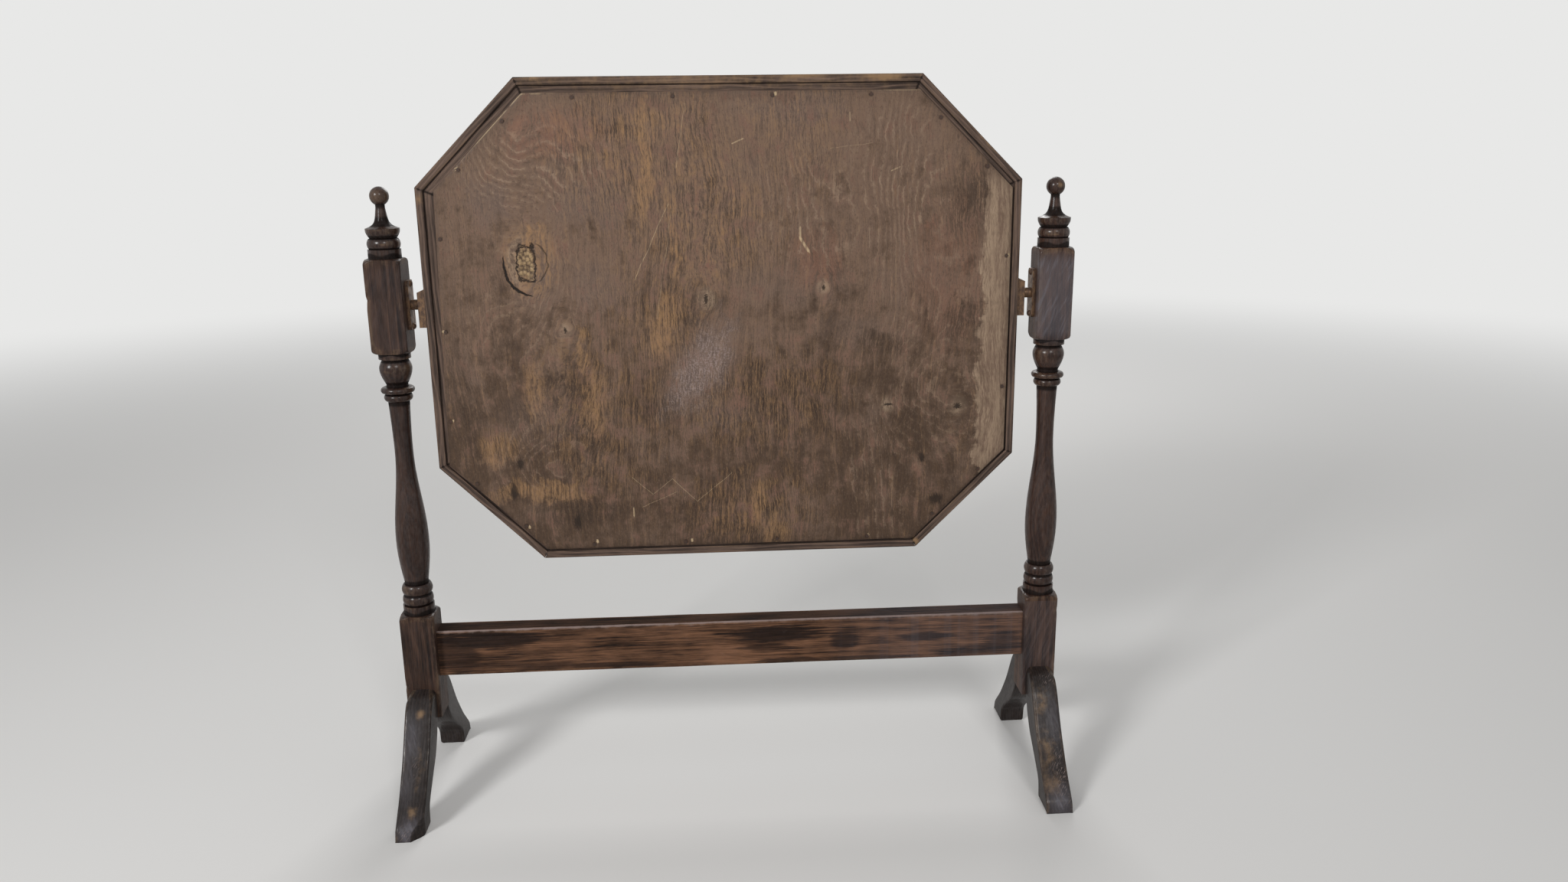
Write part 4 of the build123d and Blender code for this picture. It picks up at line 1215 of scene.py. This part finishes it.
def planed_rail(sizes):
    """Grid of the rail between the posts: a rounded rectangle carried along, its edges worn unevenly."""
    low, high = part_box("stretcher_rail")
    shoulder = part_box("right_post")[0].x
    core, outward, crest = rounded_box_section(flat_steps=16, corner_steps=5)
    along = np.linspace(-shoulder, shoulder, RAIL_ROWS)[:, None]
    wear = (sizes.rail_round * (1 + 0.5 * ripple(along, 0, 0.05, RAIL_SEED)))[..., None]
    half = np.array((high.y - low.y, high.z - low.z)) / 2
    section = core * (half - wear) + outward * wear
    middle = (low + high) / 2
    y, z = section[..., 0] + middle.y, section[..., 1] + middle.z
    x = np.broadcast_to(along, y.shape)
    layers = {
        "grain": np.stack((x, y - middle.y, z - middle.z), -1),
        # The flat top face counts as a hollow (-0.7) and is darkened: painted shade on the rail's top
        "relief": np.broadcast_to(crest - 0.7 * (core[:, 1] > 0.99) * (crest == 0), y.shape),
        # Pale line along the upper rear arris: partly worn wood, partly a painted highlight
        "bare_and_highlight": np.clip((z - high.z) / (2 * MM) + 1, 0, 1) * crest * (y > middle.y) * 1.3,
        "bloom_and_sheen": 0.3 * np.clip(-(x + 0.08) / 0.08, 0, 1),
    }
    return np.stack((x, y, z), -1), layers


class SWING_OT_rail(bpy.types.Operator):
    """Plane the stretcher rail, with its edges softened by use"""

    bl_idname = "swing_mirror.rail"
    bl_label = "Stretcher rail"

    def execute(self, context):
        colours = context.scene.swing_colours
        grid, layers = planed_rail(context.scene.swing_sizes)
        # The rail's pale arris line takes the smear colour, as a painted highlight over worn wood
        finish = stained_oak(
            "rail_oak", colours.rail_dark, colours.rail_warm, colours, (-0.07, -0.02), 8.0,
            RAIL_BLOTCHES, specular=0.04, figure=0.12, contrast=0.75, rubbed_and_highlit=colours.smear,
        )
        skin("stretcher_rail_planed", grid, "stand", "stretcher_rail", "dark_oak", finish, **layers)
        return {"FINISHED"}


def sawn_foot(node, sizes, seed):
    """Grid of a foot: a rounded rectangle carried from the post to the toe.

    Its top follows the back curve by length, its bottom the under curve as far as the heel and
    then the flat sole. The knocked toe is limited to a slanting line across its corner.
    """
    low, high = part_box(node)
    face = 1 if high.y > -low.y else -1
    root, tip = (low.y, high.y) if face > 0 else (-high.y, -low.y)
    scale = np.array((tip - root, high.z))
    head_rows = np.linspace(0, EVEN_SHARES[0], HEAD_ROWS)[:-1]
    u = np.concatenate((head_rows, np.linspace(*EVEN_SHARES, FOOT_ROWS), TOE_SHARES))
    walked = u[:, None]
    top = smooth_curve(np.array(FOOT_BACK_SHARES) * scale, u)
    under = smooth_curve(np.array(FOOT_UNDER_SHARES) * scale, np.minimum(u / HEEL_SHARE, 1))
    heel = np.array(FOOT_UNDER_SHARES[-1]) * scale
    sole = np.clip((walked - HEEL_SHARE) / (1 - HEEL_SHARE), 0, 1)
    bottom = np.where(walked < HEEL_SHARE, under, heel + (np.array((scale[0], 0)) - heel) * sole)
    tall = np.linalg.norm(top - bottom, axis=1)[:, None]
    core, outward, crest = rounded_box_section(flat_steps=18, corner_steps=6)
    wide = (high.x - low.x) / 2
    head = np.clip(1 - walked / HEAD_SHARE, 0, 1) ** 0.7
    edge = np.minimum(sizes.foot_round + sizes.foot_head_round * head, 0.46 * tall)
    across = core[:, 0] * (wide - edge) + outward[:, 0] * edge
    rise = core[:, 1] * (tall / 2 - edge) + outward[:, 1] * edge
    upright = (top - bottom) / tall
    middle = (top + bottom) / 2
    out = middle[:, :1] + upright[:, :1] * rise
    z = np.maximum(middle[:, 1:] + upright[:, 1:] * rise, 0)
    out = np.where(walked == 0, 0, np.maximum(out, 0))
    if node == CHIPPED_FOOT:
        inner = -1 if (low.x + high.x) > 0 else 1
        rough = 1.2 * MM * ripple(z, out, 6 * MM, CHIP_SEED)
        limit = wide - np.maximum(CHIP - (scale[0] - out) + rough, 0)
        across = inner * np.minimum(inner * across, limit)
    uneven = sizes.wobble * ripple(out, across * 2, 0.03, seed)
    x = (low.x + high.x) / 2 + across
    y = face * (root + out + uneven * (out > 4 * MM))
    grid = np.stack((x, np.clip(y, low.y, high.y), np.clip(z, 0, high.z)), -1)
    walked = np.broadcast_to(walked, z.shape)
    on_top = np.clip(rise / (tall / 2), 0, 1) ** 4
    # Worn patches, painted sheen and scratches, laid on the tops of the feet
    marks = {"bare_and_highlight": FOOT_WEAR, "bloom_and_sheen": FOOT_SHEEN, "scratched": FOOT_NICKS}
    layers = {layer: spots(walked, across / wide, places[node]) * on_top for layer, places in marks.items()}
    layers["grain"] = np.stack((walked * FOOT_LENGTH, across + 0.02 * seed, rise), -1)
    layers["relief"] = np.broadcast_to(crest, z.shape) * np.where(rise > 0, 1, 0.3)
    layers["polish"] = np.full(z.shape, 0.55)
    return grid, layers


class SWING_OT_feet(bpy.types.Operator):
    """Saw and round the four splayed feet"""

    bl_idname = "swing_mirror.feet"
    bl_label = "Feet"

    def execute(self, context):
        sizes, colours = context.scene.swing_sizes, context.scene.swing_colours
        finish = stained_oak(
            "foot_oak", colours.foot_dark, colours.foot_warm, colours, (-0.05, -0.03), 13.0,
            haze=0.12, contrast=0.6,
        )
        for seed, node in enumerate(sorted(FOOT_WEAR), start=FOOT_SEED):
            grid, layers = sawn_foot(node, sizes, seed)
            skin(f"{node}_sawn", grid, "stand", node, "dark_oak", finish, sharp=60, **layers)
        return {"FINISHED"}


def frame_corners():
    """The eight outer corners (x, z): ends of the top rail and right stile, mirrored round the middle."""
    rail_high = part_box("frame_top_rail")[1]
    stile_low, stile_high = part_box("frame_right_stile")
    middle = (stile_low.z + stile_high.z) / 2
    cut_x, top = rail_high.x, rail_high.z - middle
    wide, cut_z = stile_high.x, stile_high.z - middle
    corners = (
        (-cut_x, top), (cut_x, top), (wide, cut_z), (wide, -cut_z),
        (cut_x, -top), (-cut_x, -top), (-wide, -cut_z), (-wide, cut_z),
    )
    return np.array([(x, z + middle) for x, z in corners])


def frame_length(start, end, back, sizes, seed, wear):
    """Grid of one length and its layers: the moulding's section carried along, cut at each end on the mitre.

    A point d inside the outer edge starts d tan(22.5 degrees) from the corner. Wear is worn patches
    on the rear face; the top rail's long pale band is partly a painted highlight.
    """
    section, crest = rounded_outline(SECTION, SECTION_STEP)
    inset, depth = section[:, 0] * MM, section[:, 1] * MM
    run = np.linalg.norm(end - start)
    way = (end - start) / run
    inward = np.array((way[1], -way[0]))
    trim = inset * tan(MITRE) + sizes.mitre_gap / 2
    share = np.linspace(0, 1, max(int(run / (2 * MM)), 20))[:, None]
    along = trim + (run - 2 * trim) * share
    uneven = sizes.wobble * 0.6 * ripple(along, inset * 3, 0.05, seed) * (crest >= 0)
    off = inset + np.where(inset < 3 * MM, np.abs(uneven), 0)
    deep = np.broadcast_to(depth, along.shape)
    x = start[0] + way[0] * along + inward[0] * off
    z = start[1] + way[1] * along + inward[1] * off
    to_end = np.minimum(along, run - along) - inset * tan(MITRE)
    relief = crest - 1.3 * np.exp(-to_end / (0.7 * MM))
    layers = {
        "grain": np.stack((along + 0.11 * seed, off, deep), -1),
        "relief": np.clip(relief, -1, 1),
        "bare_and_highlight": spots(along / run, inset, wear) * (depth < 3 * MM),
    }
    return np.stack((x, back - deep, z), -1), layers


class SWING_OT_frame(bpy.types.Operator):
    """Run the eight mitred lengths of the mirror's frame"""

    bl_idname = "swing_mirror.frame"
    bl_label = "Frame"

    def execute(self, context):
        sizes, colours = context.scene.swing_sizes, context.scene.swing_colours
        finish = stained_oak(
            "frame_oak", colours.frame_dark, colours.frame_warm, colours, (0.04, -0.03), 17.0, contrast=0.75,
        )
        starts = frame_corners()
        ends = np.roll(starts, -1, axis=0)
        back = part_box("frame_top_rail")[1].y
        for seed, (node, start, end) in enumerate(zip(FRAME_LENGTHS, starts, ends), start=FRAME_SEED):
            grid, layers = frame_length(start, end, back, sizes, seed, FRAME_WEAR_AND_HIGHLIGHT.get(node, ()))
            skin(f"{node}_moulded", grid, "mirror", node, "frame_oak", finish, **layers)
        return {"FINISHED"}


def board_corners():
    """The board's eight corners (x, z): its furthest vertex along each of eight directions."""
    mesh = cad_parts["back_board"].data
    points = np.empty(3 * len(mesh.vertices), np.float32)
    mesh.vertices.foreach_get("co", points)
    flat = points.reshape(-1, 3)[:, ::2].astype(float)
    angles = pi / 8 + np.arange(8) * pi / 4
    directions = np.stack((np.cos(angles), np.sin(angles)))
    return flat[np.argmax((flat - flat.mean(0)) @ directions, axis=0)]


def nail_places(corners):
    """Nails spread evenly along each edge, an inset inside it."""
    places = []
    for start, end in zip(corners, np.roll(corners, -1, axis=0)):
        run = np.linalg.norm(end - start)
        inward = np.array((start[1] - end[1], end[0] - start[0])) / run
        count = max(2, round(run / NAIL_PITCH))
        shares = (2 * np.arange(count) + 1)[:, None] / (2 * count)
        places.append(start + (end - start) * shares + inward * NAIL_INSET)
    return np.concatenate(places)


def board_grid(corners, low, high):
    """Grid (x, z) of the board in level rows, across its rear face and back over its front, and its insets.

    A row runs between the octagon's sides at its level. The inset is the distance to the nearest
    side, and rear is true on the rear face.
    """
    order = corners[np.argsort(corners[:, 1])]
    middle = corners[:, 0].mean()
    left, right = order[order[:, 0] < middle], order[order[:, 0] > middle]
    levels = np.concatenate((np.linspace(low.z, high.z, BOARD_ROWS), corners[:, 1]))
    levels = np.unique(levels.round(6))
    first = np.interp(levels, left[:, 1], left[:, 0])[:, None]
    last = np.interp(levels, right[:, 1], right[:, 0])[:, None]
    share = np.linspace(0, 1, BOARD_COLUMNS)
    x = first + (last - first) * np.concatenate((share, share[::-FRONT_SKIP]))
    z = np.broadcast_to(levels[:, None], x.shape)
    inset = np.minimum(np.minimum(x - first, last - x), np.minimum(z - low.z, high.z - z))
    for a, b in zip(corners, np.roll(corners, -1, axis=0)):
        side = np.abs((b[0] - a[0]) * (z - a[1]) - (b[1] - a[1]) * (x - a[0])) / np.linalg.norm(b - a)
        inset = np.minimum(inset, side)
    rear = np.arange(x.shape[1]) < len(share)
    return x, z, inset, rear


def bowed_board(sizes, middle_height):
    """Grid of the board and its layers: a slow bow, a sunken knot, nail dimples and frayed edges."""
    low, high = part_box("back_board")
    corners = board_corners()
    x, z, inset, rear = board_grid(corners, low, high)
    bow = sizes.board_bow * (ripple(x, z, 0.22, BOARD_SEED) - 1) * np.clip(inset / 0.05, 0, 1)
    knot_x, knot_z = -OPEN_KNOT[0] * MM, OPEN_KNOT[1] * MM + middle_height
    half_x, half_z = (half * MM for half in OPEN_KNOT_HALF)
    sunk = KNOT_DEPTH * np.clip(1.3 - ((x - knot_x) / half_x) ** 2 - ((z - knot_z) / half_z) ** 2, 0, 1)
    nails = nail_places(corners)
    near = np.min([np.hypot(x - a, z - b) for a, b in nails], axis=0)
    dimple = DIMPLE_DEPTH * np.exp(-((near / DIMPLE_REACH) ** 2))
    frayed = FRAY_DEPTH * np.clip(1 - inset / FRAY_REACH, 0, 1)
    y = np.where(rear, high.y + bow - sunk - dimple - frayed, low.y)
    draw = np.random.default_rng(TEAR_SEED)
    tears = nails[draw.random(len(nails)) < TORN_SHARE]
    tears = tears + draw.normal(0, TEAR_STRAY, tears.shape)
    layers = {
        "edge": np.clip(1 - inset / (1.6 * MM), 0, 1) * 0.6 + np.exp(-inset / (14 * MM)) * 0.39,
        "rust": np.exp(-((near / RUST_REACH) ** 2)),
        "torn": spots(x, z, [(a, b, *TEAR_HALF, TEAR_STRENGTH) for a, b in tears]),
    }
    return np.stack((x, y, z), -1), layers


class SWING_OT_board(bpy.types.Operator):
    """Cut the plywood back board and drive its nails"""

    bl_idname = "swing_mirror.board"
    bl_label = "Back board"

    def execute(self, context):
        colours = context.scene.swing_colours
        middle_height = frame_corners()[:, 1].mean()
        grid, layers = bowed_board(context.scene.swing_sizes, middle_height)
        finish = old_plywood(colours, middle_height)
        skin("back_board_stained", grid, "mirror", "back_board", "plywood", finish, **layers)
        dress(dark_steel(colours), "back_board_nails", "mitre_pins")
        return {"FINISHED"}


class SWING_OT_glass(bpy.types.Operator):
    """Silver the bevelled glass"""

    bl_idname = "swing_mirror.glass"
    bl_label = "Glass"

    def execute(self, context):
        low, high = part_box("mirror_glass")
        corners = frame_corners()
        cut = corners[2][0] - corners[1][0]
        dress(silvered_glass(context.scene.swing_colours, low, high, cut), "mirror_glass")
        return {"FINISHED"}


class SWING_OT_swivels(bpy.types.Operator):
    """Finish the brass swivels, their screws and their leather washers"""

    bl_idname = "swing_mirror.swivels"
    bl_label = "Swivels"

    def execute(self, context):
        colours = context.scene.swing_colours
        brass = aged_brass(colours)
        for side in SIDES:
            dress(brass, f"{side}_post_plate", f"{side}_pivot_pin", f"{side}_frame_socket")
        dress(brass, "post_plate_screws", "frame_socket_screws")
        dress(washer_leather(colours), *(f"{side}_friction_washer" for side in SIDES))
        return {"FINISHED"}


class SWING_OT_inside(bpy.types.Operator):
    """Finish the dowels and packing blocks that the joints hide"""

    bl_idname = "swing_mirror.inside"
    bl_label = "Hidden pieces"

    def execute(self, context):
        dress(raw_softwood(context.scene.swing_colours), "foot_dowels", "glass_packing_blocks")
        return {"FINISHED"}


# Stage


def view_matrix(stage):
    """World matrix of the camera: heading from -Y to -X, dip below the horizon, roll about the view."""
    heading, dip, roll = stage.heading, stage.dip, stage.roll
    forward = Vector((-sin(heading) * cos(dip), -cos(heading) * cos(dip), -sin(dip)))
    level = Vector((-cos(heading), sin(heading), 0))
    down = forward.cross(level)
    right = level * cos(roll) + down * sin(roll)
    up = level * sin(roll) - down * cos(roll)
    matrix = Matrix((right, up, -forward)).transposed().to_4x4()
    matrix.translation = stage.camera_place
    return matrix


def pale_floor(colours, place):
    """Floor of flat rings that passes, far out, into the glow of the backdrop."""
    angle = np.linspace(0, 2 * pi, FLOOR_COLUMNS, endpoint=False)
    radius = np.array(FLOOR_RINGS)[:, None]
    x, y = radius * np.cos(angle), radius * np.sin(angle)
    points = np.stack((x, y, np.zeros_like(x)), -1).reshape(-1, 3)
    disc = list(range(FLOOR_COLUMNS))
    mesh = bpy.data.meshes.new("floor")
    mesh.from_pydata(points, [], [disc] + grid_faces(len(FLOOR_RINGS), FLOOR_COLUMNS).tolist())
    f = Finish("pale_floor")
    px, py, _ = f.place()
    far = f.ease(f.maths("SQRT", px * px + py * py), *FLOOR_FADE)
    tone = f.noise(px * 3, py * 3, 0.0, detail=2)
    paper = f.mix(tone * 0.06, colours.floor, dimmed(colours.floor, 0.8))
    mesh.materials.append(f.done(
        base_color=f.mix(far, paper, (0, 0, 0)),
        roughness=0.9,
        specular_ior_level=0.0,
        emission_color=f.mix(far, (0, 0, 0), colours.backdrop),
        emission_strength=1.0,
    ))
    floor = bpy.data.objects.new("floor", mesh)
    floor.location = place
    bpy.context.scene.collection.objects.link(floor)


def studio_world(level, backdrop):
    """World that gives even light, and shows the backdrop to the camera and to what mirrors it."""
    world = bpy.data.worlds.new("studio")
    world.use_nodes = True
    world.node_tree.nodes.clear()
    w = Nodes(world.node_tree)
    path = w.node("ShaderNodeLightPath", {}, {}).socket.node
    rays = ("Is Camera Ray", "Is Glossy Ray", "Is Transmission Ray")
    seen = w.greatest(Wire(w, path.outputs[ray]) for ray in rays)
    light = w.node("ShaderNodeBackground", {}, {"Strength": level})
    shown = w.node("ShaderNodeBackground", {}, {"Color": backdrop})
    either = w.node("ShaderNodeMixShader", {}, {0: seen, 1: light, 2: shown})
    w.node("ShaderNodeOutputWorld", {}, {0: either})
    return world


def soft_lamp(lamp, target, level):
    """Square lamp that faces a target."""
    light = bpy.data.lights.new(lamp.name, "AREA")
    light.size = lamp.size
    light.energy = lamp.power * level
    light.spread = radians(lamp.beam)
    made = bpy.data.objects.new(lamp.name, light)
    made.location = lamp.place
    made.rotation_euler = (target - Vector(lamp.place)).to_track_quat("-Z", "Y").to_euler()
    bpy.context.scene.collection.objects.link(made)


def photo_camera(stage):
    """Camera that sees the object as the photo does."""
    data = bpy.data.cameras.new("camera")
    data.sensor_width = SENSOR_WIDTH
    data.lens = SENSOR_WIDTH * stage.focal_pixels / PHOTO_WIDTH
    camera = bpy.data.objects.new("camera", data)
    bpy.context.scene.collection.objects.link(camera)
    camera.matrix_world = view_matrix(stage)
    return camera


class SWING_OT_stage(bpy.types.Operator):
    """Set the pale floor, the soft lamps and the camera"""

    bl_idname = "swing_mirror.stage"
    bl_label = "Stage"

    def execute(self, context):
        scene, stage, colours = context.scene, context.scene.swing_stage, context.scene.swing_colours
        low, high = CAD_BOX
        middle = (low + high) / 2
        pale_floor(colours, (middle.x, middle.y, low.z))
        scene.world = studio_world(stage.world_level, colours.backdrop)
        for lamp in LAMPS:
            soft_lamp(lamp, middle, stage.lamp_level)
        scene.camera = photo_camera(stage)
        scene.view_settings.view_transform = "Standard"
        return {"FINISHED"}


class SWING_PT_panel(bpy.types.Panel):
    """Buttons that dress the swing mirror, piece by piece"""

    bl_idname = "SWING_PT_panel"
    bl_label = "Swing Mirror"
    bl_space_type = "VIEW_3D"
    bl_region_type = "UI"
    bl_category = "Swing Mirror"

    def draw(self, context):
        for operator in OPERATORS:
            self.layout.operator(operator.bl_idname)
        for group in (context.scene.swing_sizes, context.scene.swing_colours, context.scene.swing_stage):
            box = self.layout.box()
            for name in group.__annotations__:
                box.prop(group, name)


GROUPS = {
    "swing_sizes": SwingMirrorSizes,
    "swing_colours": SwingMirrorColours,
    "swing_stage": SwingMirrorStage,
}
OPERATORS = (
    SWING_OT_posts,
    SWING_OT_rail,
    SWING_OT_feet,
    SWING_OT_frame,
    SWING_OT_board,
    SWING_OT_glass,
    SWING_OT_swivels,
    SWING_OT_inside,
    SWING_OT_stage,
)


def register():
    for group in GROUPS.values():
        bpy.utils.register_class(group)
    for name, group in GROUPS.items():
        setattr(bpy.types.Scene, name, PointerProperty(type=group))
    for part in (*OPERATORS, SWING_PT_panel):
        bpy.utils.register_class(part)


def unregister():
    for part in (SWING_PT_panel, *reversed(OPERATORS)):
        bpy.utils.unregister_class(part)
    for name in GROUPS:
        delattr(bpy.types.Scene, name)
    for group in GROUPS.values():
        bpy.utils.unregister_class(group)


def main():
    register()
    for operator in OPERATORS:
        group, name = operator.bl_idname.split(".")
        getattr(getattr(bpy.ops, group), name)()


if __name__ == "__main__":
    main()
